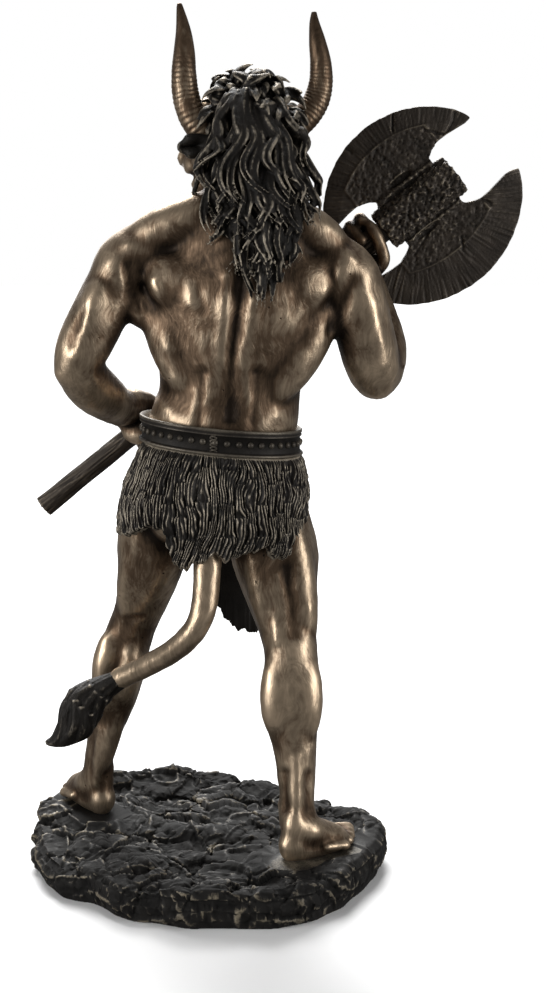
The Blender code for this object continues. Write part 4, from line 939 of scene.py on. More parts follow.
def nape_point(across, z, out):
    """A point on the fall of hair: across from -1 to 1, at a height in shares, and lifted out by a share."""
    heights = [186, 196, 205, 214, 224, 236, 248, 262]
    middle = float(np.interp(z, heights, [-18.6, -19.6, -20.6, -20.4, -19.0, -17.8, -17.2, -17.0]))
    half = float(np.interp(z, heights, [3, 8, 12.5, 16.0, 17.6, 17.6, 16, 12]))
    back = float(np.interp(z, heights, [22.5, 22.5, 22.5, 22, 20, 16, 12.5, 8]))
    round_off = float(np.interp(z, [190, 212, 230, 262], [3, 6, 11, 12]))
    x = middle + across * (half + out * 0.5)
    y = back + out - round_off * across**2
    return x, y, z


def mane_lock(start, end, wave, phase, out):
    """The path of a wavy lock over the nape, between two places of (across, z), as rows of x, y, z in shares."""
    rows = []
    steps = 14
    for i in range(steps + 1):
        t = i / steps
        swing = wave * math.sin(phase + 9.0 * t) * (0.25 + 0.75 * t)
        across = start[0] + (end[0] - start[0]) * t**0.85 + swing
        z = start[1] + (end[1] - start[1]) * t + 1.4 * math.cos(phase + 9.0 * t) * t
        lift = out * min(t * 3, 1) - 2.6 * (1 - t) ** 4 + 1.7 * math.sin(phase * 1.7 + 7.5 * t) * (0.2 + 0.8 * t) + 2.2 * t**4
        rows.append(Vector(nape_point(across, z, lift)))
    return rows


def mane_strands(settings):
    """Overlapping tiers of locks, each a bundle of strands that part again at the tip."""
    rng = np.random.default_rng(7)
    locks = []
    for tier in range(settings.mane_tiers):
        level = tier / (settings.mane_tiers - 1)
        top, bottom = 222 + 33 * level, 194 + 30 * level
        count = round(settings.locks * (0.8 + 0.2 * math.sin(math.pi * level)))
        for i in range(count):
            share = (i + 0.5 + 0.5 * (tier % 2)) / count * 2 - 1
            begin = (share * 0.62 + rng.uniform(-0.1, 0.1), top + rng.uniform(-3.5, 3.5))
            end = (
                share * (0.80 + 0.22 * level) + rng.uniform(-0.2, 0.2),
                bottom + 9.0 * share**2 + rng.uniform(-6.0, 5.0),
            )
            path = mane_lock(begin, end, rng.uniform(0.08, 0.20), rng.uniform(0, 6.3), 0.2 + 2.3 * level)
            locks.append((path, rng.uniform(0.8, 1.25)))
    stray = ((240, 222, -1.10), (236, 214, -1.0), (236, 212, 1.02), (228, 200, 0.55), (226, 190, -0.05), (228, 202, -0.7))
    for top, bottom, reach in stray:
        locks.append((mane_lock((reach * 0.8, top), (reach, bottom), 0.06, reach, 1.4), 1.1))
    strands = []
    for rows, thick in locks:
        twist = rng.uniform(0, 6.3)
        for k in range(settings.strands):
            drift = rng.uniform(-1.0, 1.0)
            strand = []
            for i, spot in enumerate(rows):
                t = i / (len(rows) - 1)
                turn = twist + 2 * math.pi * k / settings.strands + 2.2 * t
                spread = 1.15 * thick * (1 - 0.3 * t) + 1.6 * abs(drift) * t**3
                swell = math.sin(math.pi * min(t * 0.72 + 0.28, 1.0)) ** 0.7
                aside = Vector((math.cos(turn) * spread + drift * t**2, math.sin(turn) * spread * 0.6, 0.8 * drift * t**2))
                strand.append((place(*(spot + aside)), u(max(0.82 * thick * swell, 0.26))))
            strands.append(strand)
    return strands


def crown_place(turn, polar, out):
    """A point of the mop of hair on the head, a squarish dome: a turn round it and an angle from its top."""
    across, forward, up = math.sin(polar) * math.cos(turn), math.sin(polar) * math.sin(turn), math.cos(polar)
    size = (abs(across / 15.0) ** 2.3 + abs(forward / 15.0) ** 2.3 + abs(up / 17.6) ** 2.3) ** (-1 / 2.3)
    size += out
    return head_place(across * size + 1.5, forward * size - 1, up * size + 2)


# Where the mop of hair parts round the horns and ears, and the hollow at its back: places and radii in shares
PARTINGS = (((6.5, 3, 240.5), 5.0), ((-30.5, 9, 241.0), 7.5), ((3.0, -4, 249), 4.0), ((-33, -10, 249), 4.0))
HOLLOW = ((-12.0, 8.5, 254.5), 5.2)


def crown_curls(settings):
    """Thick pointed licks and small ringlets that spring from the head in tiers, as (path, flutes, way out)."""
    rng = np.random.default_rng(23)
    curls = []
    middle = head_place(1.5, -1, 2)
    golden = math.pi * (3 - math.sqrt(5))
    for i in range(settings.curls):
        polar = math.acos(1 - (i + 0.5) / settings.curls * 1.25)
        turn = golden * i + rng.uniform(-0.3, 0.3)
        root = crown_place(turn, polar, rng.uniform(-3.2, -2.0))
        if (root - place(*HOLLOW[0])).length < u(HOLLOW[1]):
            continue
        outward = (root - middle).normalized()
        lean = rng.uniform(0, 2 * math.pi)
        first, second = square_to(outward, Vector((0, 0, -1)))
        along = (first * (0.8 * min(polar, 1.5) + math.cos(lean)) + second * math.sin(lean)).normalized()
        aside = outward.cross(along)
        ringlet = rng.random() < 0.30
        size = rng.uniform(1.6, 2.3) if ringlet else rng.uniform(2.0, 3.2)
        turns = rng.uniform(0.85, 1.2) if ringlet else rng.uniform(0.36, 0.52)
        thick = rng.uniform(0.9, 1.2) if ringlet else rng.uniform(1.1, 1.9)
        reach = 1.0 if ringlet else rng.uniform(3.5, 7.0)
        drift, bend = rng.uniform(-2.4, 2.4), rng.uniform(-1.0, 1.0)
        rows = []
        for j in range(11):
            t = j / 10
            roll = -0.7 + 2 * math.pi * turns * t
            radius = size * (1.1 - (0.62 if ringlet else 0.2) * t)
            rise = radius * math.sin(roll) + size * 0.55 * min(t * 3, 1)
            spot = root + (outward * rise + along * (size - radius * math.cos(roll) + reach * t)) * UNIT
            spot += aside * (drift * t + bend * math.sin(6 * t)) * UNIT
            rows.append((spot, u(max(thick * math.sin(math.pi * (0.27 + 0.69 * t)) ** 1.1, 0.3))))
        if any((rows[6][0] - place(*spot)).length < u(radius) for spot, radius in PARTINGS):
            continue
        curls.append((rows, 3 if ringlet else 5, outward))
    return curls


def hair_mesh(fineness, settings):
    """The mane and the mop of hair as one carved mass of grooved locks."""
    bm = bmesh.new()
    fall = [
        (-16.5, -2, 252, 12.5, 9.5), (-17.0, -1, 242, 15.0, 11.5), (-17.9, 2, 232, 16.4, 12.5), (-18.8, 6, 222, 15.8, 12.2),
        (-20.0, 11, 212, 12.0, 9.8), (-20.2, 16, 203, 7.5, 5.2), (-19.6, 18, 196, 3.4, 2.6),
    ]
    rings = []
    for x, y, z, half_width, half_depth in smooth_path(fall, 2):
        turns = [2 * math.pi * i / 24 for i in range(24)]
        rings.append([place(x + half_width * math.cos(a), y + half_depth * math.sin(a), z) for a in turns])
    skin(bm, rings)
    dome = []
    for degrees in (6, 22, 38, 54, 70, 86, 102):
        dome.append([crown_place(2 * math.pi * i / 24, math.radians(degrees), -2.4) for i in range(24)])
    skin(bm, dome)
    for rows in mane_strands(settings):
        limb(bm, rows, sides=8, steps=2)
    for rows, flutes, outward in crown_curls(settings):
        lock(bm, rows, flutes=flutes, sides=20, steps=2, wide=1.5, depth=0.34, twist=0.8, near=outward)
    return bm


def tuft_mesh():
    """The brush of the tail: a bundle of locks that swell and then draw together in a hooked point."""
    bm = bmesh.new()
    spine = [
        (30, 5.2, 57.4, 3.4), (37, 4, 53.3, 4.3), (42.0, 4, 48.8, 5.6), (45.0, 5, 43.4, 5.6), (48.0, 6.5, 38.8, 3.6),
        (51.6, 8, 36.0, 1.9), (55.2, 9, 35.4, 0.8),
    ]
    limb(bm, stations(spine))
    rng = np.random.default_rng(11)
    for ring, (count, out_share, start) in enumerate(((14, 0.92, 0), (11, 1.08, 1), (9, 1.18, 2))):
        for i in range(count):
            turn = 2 * math.pi * (i + 0.5 * ring) / count + rng.uniform(-0.15, 0.15)
            rows = []
            for j, (x, y, z, r) in enumerate(spine):
                if j < start:
                    continue
                swirl = turn + 0.42 * j + 0.18 * math.sin(2.2 * j + i)
                out = r * out_share
                thick = (0.9, 1.4, 1.6, 1.5, 1.1, 0.75, 0.4)[j]
                rows.append((place(x + out * 0.72 * math.cos(swirl), y + out * math.sin(swirl),
                                   z + out * 0.62 * math.cos(swirl)), u(thick)))
            lock(bm, rows, flutes=2, sides=12, steps=5, wide=1.3, depth=0.36, twist=0.8)
    return bm


# The belt and the fur loincloth

BELT_MIDDLE = (-5.7, 0.3, 143.6)
BELT_TILT = 0.095
BELT_HALF = (26.6, 20.0)
BELT_HEIGHT = 9.4


def waist_point(turn, grow, z):
    """A point round the waist: turn from the figure's left by way of its back, grown outwards, z from the belt's middle."""
    x, y, middle = BELT_MIDDLE
    a, b = BELT_HALF
    across = (a + grow) * math.cos(turn)
    return place(x + across, y + (b + grow) * math.sin(turn), middle + BELT_TILT * across + z)


HEM = [
    (0, 109.5), (20, 110), (35, 112), (50, 114), (60, 114.5), (64, 112), (69, 103.5), (74, 100.5), (82, 102.5),
    (95, 105), (112, 105.5), (122, 107.5), (138, 103), (150, 104.5), (157, 108), (163, 117), (180, 121), (203, 119),
    (211, 106), (217, 88), (222, 78), (230, 71.5), (240, 67.5), (250, 66.5), (260, 70), (268, 77), (275, 87),
    (282, 106), (290, 117), (335, 115), (360, 109.5),
]


def skirt_point(turn, drop, out):
    """A point of the loincloth: turn round the waist in degrees, drop from belt to hem as a share, lifted out."""
    hem = float(np.interp(turn % 360, [t for t, _ in HEM], [z for _, z in HEM]))
    top = BELT_MIDDLE[2] - BELT_HEIGHT / 2 + BELT_TILT * BELT_HALF[0] * math.cos(math.radians(turn))
    z = top + (hem - top) * drop
    angle = math.radians(turn)
    down = (BELT_MIDDLE[2] - z) / 40
    flare = math.sin(min(down * 1.5, 1) * math.pi / 2)
    across, ahead = math.cos(angle), math.sin(angle)
    square = (abs(across) ** 2.5 + abs(ahead) ** 2.5) ** (-1 / 2.5)
    x = BELT_MIDDLE[0] + 4.0 * min(down, 1) + (BELT_HALF[0] - 1.4 + 7.6 * flare + out) * across * square
    y = BELT_MIDDLE[1] + (BELT_HALF[1] - 1.4 + 7.4 * flare + out) * ahead * square
    return x, y, z


def strand_height(around, down):
    """The relief of the fur at a place in shares round and down the hide: fine strands gathered in pointed tufts."""
    sway = 2.3 * noise.noise(Vector((around / 8.0, down / 10.0, 1.3)))
    sway += 0.45 * noise.noise(Vector((around / 3.0, down / 4.5, 5.1)))
    tuft = (around + sway) / 3.1
    number = math.floor(tuft)
    seed = noise.cell(Vector((number * 1.7, 0.5, 0.5)))
    run = down / 10.5 + seed * 3.7
    share = run - math.floor(run)
    middle = abs(tuft - number - 0.5) * 2
    point = max(1 - middle / max(1.1 - 0.85 * share**2, 0.05), 0) ** 0.5
    lift = 0.95 * point * (0.3 + 0.7 * share) * min((1 - share) * 4, 1)
    strand = (around + sway * 1.3 + (0.5 - share) * (around / 3.1 + sway / 3.1 - number - 0.5) * 1.6) / 0.95
    edge = abs(strand - math.floor(strand) - 0.5) * 2
    grain = 0.72 + 0.55 * noise.noise(Vector((math.floor(strand) * 3.1, down / 2.6, 2.0)))
    gap = 0.9 * min(max(middle - 0.72, 0) * 3.5, 1) * share
    return lift + 0.95 * grain * (1 - edge**1.4) - gap


def fur_mesh(settings):
    """The fur loincloth: a hide closed round the hips, its outside worked strand by strand, ragged at the hem."""
    bm = bmesh.new()
    columns, rows = settings.fur_columns, settings.fur_rows
    outer, inner = [], []
    length = 2 * math.pi * 29
    for i in range(columns):
        turn = 360 * i / columns
        around = length * i / columns
        hem = skirt_point(turn, 1, 0)[2]
        deep = 137 - hem
        ragged = 0.45 * noise.noise(Vector((around / 1.3, 3.3, 7.7))) + 0.55 * noise.noise(Vector((around / 3.6, 1.3, 4.7)))
        reach = 1 + 3.6 * ragged / deep
        column = []
        for j in range(rows):
            t = j / (rows - 1)
            drop = reach * t
            out = strand_height(around, deep * drop) * min(0.3 + 9 * t, 1) - 0.9
            if t > 0.965:
                out -= 60 * (t - 0.965)
            column.append(bm.verts.new(place(*skirt_point(turn, drop, out))))
        outer.append(column)
        inner.append([bm.verts.new(place(*skirt_point(turn, reach * 0.985 * k / 5, -2.9))) for k in range(6)])
    for i in range(columns):
        k = (i + 1) % columns
        for j in range(rows - 1):
            bm.faces.new((outer[i][j], outer[k][j], outer[k][j + 1], outer[i][j + 1]))
        for j in range(5):
            bm.faces.new((inner[i][j], inner[i][j + 1], inner[k][j + 1], inner[k][j]))
        bm.faces.new((outer[i][0], inner[i][0], inner[k][0], outer[k][0]))
        bm.faces.new((outer[i][-1], outer[k][-1], inner[k][-1], inner[i][-1]))
    bmesh.ops.recalc_face_normals(bm, faces=bm.faces)
    mesh = bpy.data.meshes.new("fur")
    bm.to_mesh(mesh)
    bm.free()
    return mesh


def belt_mesh(settings, sides=220):
    """The belt: a band with a double upper rim and a lower rim, its studs, and a laced join at the back."""
    half = BELT_HEIGHT / 2
    profile = [(-2.0, -half), (1.0, -half), (1.5, -half + 0.35), (1.5, -half + 0.85), (1.1, -half + 1.15)]
    profile += [(0.55, -half + 1.3), (0.45, -half + 1.6), (0.45, half - 3.0), (0.95, half - 2.7), (1.1, half - 2.35)]
    profile += [(0.9, half - 2.0), (0.75, half - 1.8), (1.15, half - 1.45), (1.2, half - 1.1), (1.2, half - 0.6)]
    profile += [(0.9, half - 0.35), (0.5, half - 0.3), (-0.2, half - 1.6), (-3.0, half - 3.4)]
    bm = bmesh.new()
    rings = []
    for i in range(sides):
        turn = 2 * math.pi * i / sides
        ripple = 0.12 * noise.noise(Vector((math.cos(turn) * 4, math.sin(turn) * 4, 2)))
        rings.append([bm.verts.new(waist_point(turn, grow + ripple, z)) for grow, z in profile])
    for i in range(sides):
        here, there = rings[i], rings[(i + 1) % sides]
        for j in range(len(profile)):
            k = (j + 1) % len(profile)
            bm.faces.new((here[j], here[k], there[k], there[j]))
    radius = settings.stud_size / 2
    for i in range(settings.stud_count):
        turn = 2 * math.pi * (i + 0.15) / settings.stud_count
        outward = Vector((math.cos(turn), math.sin(turn), 0))
        blob(bm, waist_point(turn, 0.5, -0.4), (radius * 0.85, radius, radius), near=outward)
    join = math.radians(86)
    for k in range(5):
        z = -half + 1.9 + k * 1.15
        for lean in (-1, 1):
            a, b = waist_point(join - 0.04, 0.7, z - lean * 0.45), waist_point(join + 0.04, 0.7, z + lean * 0.45)
            limb(bm, [(a, u(0.22)), ((a + b) / 2 + Vector((0, u(0.2), 0)), u(0.27)), (b, u(0.22))], sides=8, steps=3)
    bmesh.ops.recalc_face_normals(bm, faces=bm.faces)
    mesh = bpy.data.meshes.new("belt")
    bm.to_mesh(mesh)
    bm.free()
    return mesh


# The axe, in its own frame: along the handle, along the blades, and out of the flat of the head

HANDLE_RADIUS = 0.0037
SOCKET_LENGTH = 0.0320
SOCKET_WIDTH = 0.0146
SOCKET_DEPTH = 0.0110
LUG_LENGTH = 0.0240
LUG_WIDTH = 0.0200
LUG_DEPTH = 0.0056
NARROW_BLADE_REACH = 0.0322
WIDE_BLADE_REACH = 0.0350
TIP_GROWTH = 0.0032
TIP_ANGLE = math.radians(70)
BLADE_THICKNESS = 0.0034
EDGE_THICKNESS = 0.0012
NARROW_BEVEL = 0.0075
WIDE_BEVEL = 0.0135
NOTCH_WIDTH = 0.0120
FIELD_LENGTH = 0.0180

# How far the blades' inner edge lies from the handle's line, at distances along it, as a share of the notch's width
INNER_EDGE = ((0.0, 0.0090, 0.0110, 0.0140, 0.0180, 0.0220, 0.0300, 0.0340), (0.3, 0.3, 0.75, 0.93, 1.05, 1.04, 0.95, 0.98))


def axe_place(along, aside, out):
    return AXE_CENTRE + HANDLE_LINE * along + BLADE_LINE * aside + HEAD_NORMAL * out


def blade_reach(side, turn):
    """How far the cutting edge lies from the middle of the head, and the line where its bevel begins."""
    share = abs(turn) / TIP_ANGLE
    reach = (NARROW_BLADE_REACH if side < 0 else WIDE_BLADE_REACH) + TIP_GROWTH * (share**2 - 0.35 * share**12)
    bevel = NARROW_BEVEL if side < 0 else WIDE_BEVEL
    return reach, reach - bevel * (1 - 0.35 * share**2)


def blade_section(side, turn, across=9):
    """Points of one section of a blade, from its cutting edge to its inner edge, as (along, aside, half thickness)."""
    share = abs(turn) / TIP_ANGLE
    reach, band = blade_reach(side, turn)
    nick = 1 + 0.006 * noise.noise(Vector((turn * 14, side * 3.0, 0.4))) - 0.012 * max(noise.noise(Vector((turn * 9, side, 5))) - 0.3, 0)
    edge = np.array((reach * nick * math.sin(turn), reach * nick * math.cos(turn), EDGE_THICKNESS / 2))
    along = edge[0] * 0.92
    inner = np.array((along, float(np.interp(abs(along), *INNER_EDGE)) * NOTCH_WIDTH, BLADE_THICKNESS / 2))
    line = np.array((band * math.sin(turn), max(band * math.cos(turn), inner[1] + 0.0012), BLADE_THICKNESS / 2))
    if share > 0.93:
        line = (edge + inner) / 2
    outer = [edge + (line - edge) * i / across for i in range(across)]
    return outer + [line + (inner - line) * i / across for i in range(across + 1)]


def add_blade(bm, side, sections=90):
    rings = []
    for i in range(sections + 1):
        points = blade_section(side, -TIP_ANGLE + 2 * TIP_ANGLE * i / sections)
        front = [axe_place(along, side * aside, half) for along, aside, half in points]
        back = [axe_place(along, side * aside, -half) for along, aside, half in reversed(points)]
        rings.append(front + back)
    skin(bm, rings)


def slab(bm, half_along, half_aside, half_out, corner):
    """A block of the axe head with its long edges cut off at the corners."""
    outline = []
    for a, b in ((1, 1), (-1, 1), (-1, -1), (1, -1)):
        near = (a * half_aside, b * (half_out - corner))
        far = (a * (half_aside - corner), b * half_out)
        outline += [near, far] if a * b > 0 else [far, near]
    rings = [[axe_place(along, aside, out) for aside, out in outline] for along in (-half_along, half_along)]
    skin(bm, rings)


# Cracks and chisel cuts in the head: a path of (along, aside) in millimetres, its width and its depth
CRACKS = [
    ([(12.5, -31), (9.6, -27.5), (8.0, -25.4)], 0.35, 0.9), ([(30.5, -17.6), (27.0, -14.8), (22.4, -12.6)], 0.55, 0.8),
    ([(22.0, -12.2), (19.5, -15.2), (17.0, -18.4)], 0.45, 0.7), ([(-9.0, -32.5), (-8.0, -28.5)], 0.3, 0.5),
    ([(17.5, 12.0), (19.5, 16.5)], 0.5, 0.9), ([(2.0, 22.6), (4.2, 18.8)], 0.4, 0.7), ([(-4.0, 10.5), (-13.0, 13.5)], 0.35, 0.5),
    ([(8.5, -7.6), (-9.5, -7.6)], 0.45, 0.6), ([(11.5, 7.6), (-12.0, 7.6)], 0.45, 0.6),
]
SLOTS = [((-0.5, -10.6), (5.6, 1.3)), ((-4.0, 9.4), (6.0, 1.4))]


def axe_relief(points, normals, settings):
    """How far each point of the axe head is lifted: grooves on the bevels, pits in the field, a rim between them."""
    local = points - np.array(AXE_CENTRE)
    along, aside = local @ np.array(HANDLE_LINE), local @ np.array(BLADE_LINE)
    out = local @ np.array(HEAD_NORMAL)
    flat = np.clip(np.abs(normals @ np.array(HEAD_NORMAL)) * 1.6 - 0.5, 0, 1)
    turn, radius = np.arctan2(along, np.abs(aside)), np.hypot(along, aside)
    share = np.abs(turn) / TIP_ANGLE
    growth = TIP_GROWTH * (share**2 - 0.35 * share**12)
    narrow = aside < 0
    bevel = np.where(narrow, NARROW_BEVEL, WIDE_BEVEL) * (1 - 0.35 * share**2)
    band = np.where(narrow, NARROW_BLADE_REACH, WIDE_BLADE_REACH) + growth - bevel
    inside = np.minimum(band - radius, (FIELD_LENGTH - np.abs(along)) * 0.9)
    on_bevel = np.clip(-inside / 0.0008, 0, 1)
    field = np.clip(inside / 0.0008, 0, 1)
    arc = turn * 0.030
    lift = np.zeros(len(points))
    pits = np.array([noise.voronoi(p / 0.00105)[0][0] for p in points])
    lumps = np.array([noise.noise(p / 0.0016) for p in points])
    lift += field * settings.pit_depth * (lumps * 0.8 - np.clip(1 - pits * 2.0, 0, 1))
    fine = np.array([noise.noise((a / 0.0008, r / 0.014, 3.0 * s)) for a, r, s in zip(arc, radius, np.sign(aside))])
    coarse = np.array([noise.noise((a / 0.0021, r / 0.02, 9.0 * s)) for a, r, s in zip(arc, radius, np.sign(aside))])
    cuts = np.clip(1 - np.abs(fine) * 5, 0, 1) + 0.8 * np.clip(1 - np.abs(coarse) * 6, 0, 1)
    lift -= on_bevel * flat * settings.groove_depth * (cuts + 0.8 * fine)
    lift += flat * 0.00026 * np.exp(-((inside / 0.00042) ** 2)) * (radius > 0.012)
    for path, width, depth in CRACKS:
        wander = 0.35 * lumps
        distance = distance_to(np.stack([along * 1000 + wander, aside * 1000 - wander, 0 * along], 1), [(*p, 0) for p in path])
        lift -= flat * depth * 0.001 * np.exp(-((distance / width) ** 2))
    for (a, b), (long, wide) in SLOTS:
        inner = 1 - ((along * 1000 - a) / long) ** 2 - ((aside * 1000 - b) / wide) ** 2
        lift -= flat * 0.0011 * np.clip(inner * 1.6, 0, 1)
    socket = np.clip((SOCKET_WIDTH / 2 + 0.0006 - np.abs(aside)) / 0.0005, 0, 1) * (np.abs(along) < 0.018)
    lift += socket * settings.pit_depth * 0.7 * (lumps - np.clip(1 - pits * 2.0, 0, 1))
    return np.where(np.abs(out) < 0.02, lift, 0)


def axe_head_mesh(settings, triangles):
    bm = bmesh.new()
    slab(bm, SOCKET_LENGTH / 2, SOCKET_WIDTH / 2, SOCKET_DEPTH / 2, SOCKET_DEPTH * 0.26)
    slab(bm, LUG_LENGTH / 2, LUG_WIDTH / 2, LUG_DEPTH / 2, LUG_DEPTH * 0.2)
    add_blade(bm, -1)
    add_blade(bm, 1)
    mesh = carved(bm, settings.blade_voxel, 1, "axe_head", triangles)
    points, normals = coordinates(mesh), coordinates(mesh, "normals")
    lift = axe_relief(points, normals, settings)
    mesh.vertices.foreach_set("co", (points + normals * lift[:, None]).astype(np.float32).ravel())
    mesh.update()
    return mesh


def handle_mesh(sides=64, rings=420):
    """The handle as a rough-hewn pole: long grain, a few knots and splits, and a chopped butt."""
    length = (AXE_CENTRE - BUTT_END).length
    swell = [1.06, 1.0, 0.97, 1.02, 1.0, 1.03, 0.98, 1.0, 1.0]
    deep, across = square_to(HANDLE_LINE)
    made = []
    for i in range(rings + 1):
        share = i / rings
        base = HANDLE_RADIUS * float(np.interp(share * 8, range(9), swell))
        ring = []
        for j in range(sides):
            a = 2 * math.pi * j / sides
            c, s = math.cos(a), math.sin(a)
            grain = noise.noise(Vector((c * 6, s * 6, share * 9)))
            split = noise.noise(Vector((c * 2.2 + 4, s * 2.2, share * 7)))
            hew = noise.noise(Vector((c * 1.1, s * 1.1, share * 16)))
            fine = noise.noise(Vector((c * 14, s * 14, share * 22)))
            radius = base * (1 + 0.030 * grain + 0.045 * hew + 0.022 * fine - 0.10 * max(1 - abs(split) * 9, 0))
            ring.append(BUTT_END + HANDLE_LINE * length * share + (deep * c + across * s) * radius)
        made.append(ring)
    rim = made[0]
    middle = sum(rim, Vector()) / sides
    for share in (0.93, 0.7, 0.4, 0.12):
        cap = []
        for p in rim:
            spot = middle.lerp(p, share)
            cap.append(spot - HANDLE_LINE * 0.0005 * (1 - share + 0.8 * noise.noise(spot * 900)))
        made.insert(0, cap)
    bm = bmesh.new()
    skin(bm, made)
    bmesh.ops.recalc_face_normals(bm, faces=bm.faces)
    mesh = bpy.data.meshes.new("axe_handle")
    bm.to_mesh(mesh)
    bm.free()
    return mesh


# The rock base

# How far the base's edge lies from its middle at turns from the figure's left by way of its back, in shares
EDGE_TURNS = (0, 19, 31, 41, 52, 64, 72, 88, 101, 115, 129, 147, 173, 187, 200, 217, 239, 255, 271, 284, 299, 314, 330, 346, 360)
EDGE_REACH = (
    0.96, 0.92, 0.89, 0.82, 0.82, 0.86, 0.84, 0.86, 0.87, 0.94, 0.96, 0.94, 0.97, 1.02, 0.95, 0.84, 0.78, 0.82, 0.91, 1.00, 1.08,
    1.19, 1.13, 1.05, 0.96,
)
BASE_WIDTH = 0.1290
BASE_THICKNESS = 0.0130
FAR_RIM_RISE = 0.0040
SLAB_SIZE = 0.0150


def rock_edge(turn):
    """The base's outline as a point of the plan, with small breaks along it."""
    reach = float(np.interp(math.degrees(turn) % 360, EDGE_TURNS, EDGE_REACH))
    chip = noise.noise(Vector((math.cos(turn) * 5, math.sin(turn) * 5, 3.7)))
    reach *= 1 + 0.035 * chip
    return reach * math.cos(turn) * BASE_WIDTH / 2, reach * math.sin(turn) * BASE_WIDTH / 2


def slab_height(x, y):
    """The height of the broken slabs of rock at a place of the plan, from -1 to 1: each slab is tilted its own way."""
    spot = Vector((x / SLAB_SIZE + 0.35 * noise.noise(Vector((x, y, 0)) * 90), y / SLAB_SIZE, 0.5))
    near, corners = noise.voronoi(spot)
    tilt = noise.noise_vector(corners[0] * 3.1)
    offset = spot - corners[0]
    step = noise.noise(corners[0] * 5.3 + Vector((4, 8, 1)))
    crack = min((near[1] - near[0]) * 5.0, 1.0)
    return 0.9 * step + 1.3 * (tilt.x * offset.x + tilt.y * offset.y) - 0.55 * (1 - crack)


def foot_distance(x, y):
    """How far a place of the plan is from the middle line of the nearer foot."""
    found = []
    for heel, toe, _ in (LEFT_FOOT, RIGHT_FOOT):
        run = (toe - heel).xy
        share = min(max((Vector((x, y)) - heel.xy).dot(run) / run.length_squared, 0.1), 0.9)
        found.append((Vector((x, y)) - heel.xy - run * share).length)
    return min(found)


# Ridges of the rock: a path in millimetres of the plan, its width, and how far it rises or sinks
RIDGES = [
    ([(52, 40), (29, 54), (8, 58), (-16, 52), (-36, 43), (-52, 28)], 6.0, 1.6),
    ([(25, -15), (12, -4), (0.6, 4.2), (-10, 1.4), (-18, 16), (-22.5, 27)], 5.0, 2.4),
    ([(-7.6, -22.5), (-20, -10), (-33, -0.6)], 5.0, 2.0),
    ([(52, -1), (40, 8), (30, 13.6), (18, 36)], 6.0, 2.2),
    ([(38, -60), (22, -62), (5, -58), (-14, -50), (-26, -40)], 7.5, 4.0),
    ([(-41, -26), (-50, -18), (-58, -5)], 6.0, 2.0),
    ([(60, -50), (57, -42)], 9.0, 3.6),
    ([(8, 32), (-16, 36), (-40, 27)], 8.0, -2.6),
    ([(20, -32), (4, -36), (-12, -30)], 9.0, -1.6),
]


def rock_height(x, y, relief):
    """The top of the rock: broken slabs with ridges and hollows, level under the feet."""
    level = BASE_THICKNESS - 0.0014 + relief * 0.7 * slab_height(x, y)
    for path, width, rise in RIDGES:
        nearest = min(
            (Vector((x, y)) - nearest_on(Vector(a) / 1000, Vector(b) / 1000, Vector((x, y)))).length for a, b in zip(path, path[1:])
        )
        level += rise * 0.001 * math.exp(-((nearest * 1000 / width) ** 2))
    away = foot_distance(x, y)
    flat = min(max((away - u(10.5)) / u(7), 0), 1)
    level = BASE_THICKNESS + (level - BASE_THICKNESS) * flat
    return min(level, BASE_THICKNESS) if away < u(15) else level


def nearest_on(a, b, spot):
    run = b - a
    return a + run * min(max((spot - a).dot(run) / run.length_squared, 0), 1)


def facets(point, size):
    """The height of broken facets at a place, from about -1 to 1: each cell of rock is a plane with its own tilt."""
    spot = point / size
    near, corners = noise.voronoi(spot)
    tilt = noise.noise_vector(corners[0] * 2.7)
    step = noise.noise(corners[0] * 4.1 + Vector((4, 8, 1)))
    crack = 1 - min((near[1] - near[0]) * 9.0, 1.0)
    return 0.9 * step + 1.7 * tilt.dot(spot - corners[0]) - 0.15 * crack


def rock_mesh(settings, triangles, sectors=150, ring_count=50):
    bm = bmesh.new()
    turns = [2 * math.pi * i / sectors for i in range(sectors)]
    edge = [rock_edge(a) for a in turns]
    rings = [[(x * 0.01, y * 0.01, rock_height(x * 0.01, y * 0.01, settings.relief)) for x, y in edge]]
    for j in range(1, ring_count + 1):
        share = (j / ring_count) ** 0.85 * 0.955
        rings.append([(x * share, y * share, rock_height(x * share, y * share, settings.relief)) for x, y in edge])
    for share, height in ((0.99, 0.80), (1.005, 0.52), (0.995, 0.26), (0.97, 0.0)):
        rings.append([(x * share, y * share, top * height) for (x, y), (_, _, top) in zip(edge, rings[ring_count])])
    rings.append([(x * 0.01, y * 0.01, 0) for x, y in edge])
    skin(bm, [[Vector(p) for p in ring] for ring in rings])
    mesh = carved(bm, settings.voxel, 2, "rock", triangles)
    points, normals = coordinates(mesh), coordinates(mesh, "normals")
    lift = np.zeros(len(points))
    for i, p in enumerate(points):
        spot = Vector(p)
        bent = spot + noise.noise_vector(spot / 0.019) * 0.0050
        bent.z *= 1.5
        finer = spot + noise.noise_vector(spot / 0.0065) * 0.0020
        level = 0.0022 * facets(bent, 0.0210) + 0.0009 * facets(finer, 0.0090) + 0.00045 * facets(finer, 0.0036)
        level += 0.0009 * max(1 - abs(noise.noise(bent / 0.017)) / 0.10, 0)
        side = 1.0 if p[2] < BASE_THICKNESS * 0.8 else 0.0
        lift[i] = level - 0.0006 * side
    away = np.array([foot_distance(x, y) for x, y in points[:, :2]])
    lift *= np.clip((away - u(5)) / u(6), 0.10, 1)
    lift *= np.clip(points[:, 2] / 0.0025, 0, 1)
    moved = points + normals * lift[:, None]
    moved[:, 2] = np.maximum(moved[:, 2], 0)
    mesh.vertices.foreach_set("co", moved.astype(np.float32).ravel())
    mesh.update()
    return mesh


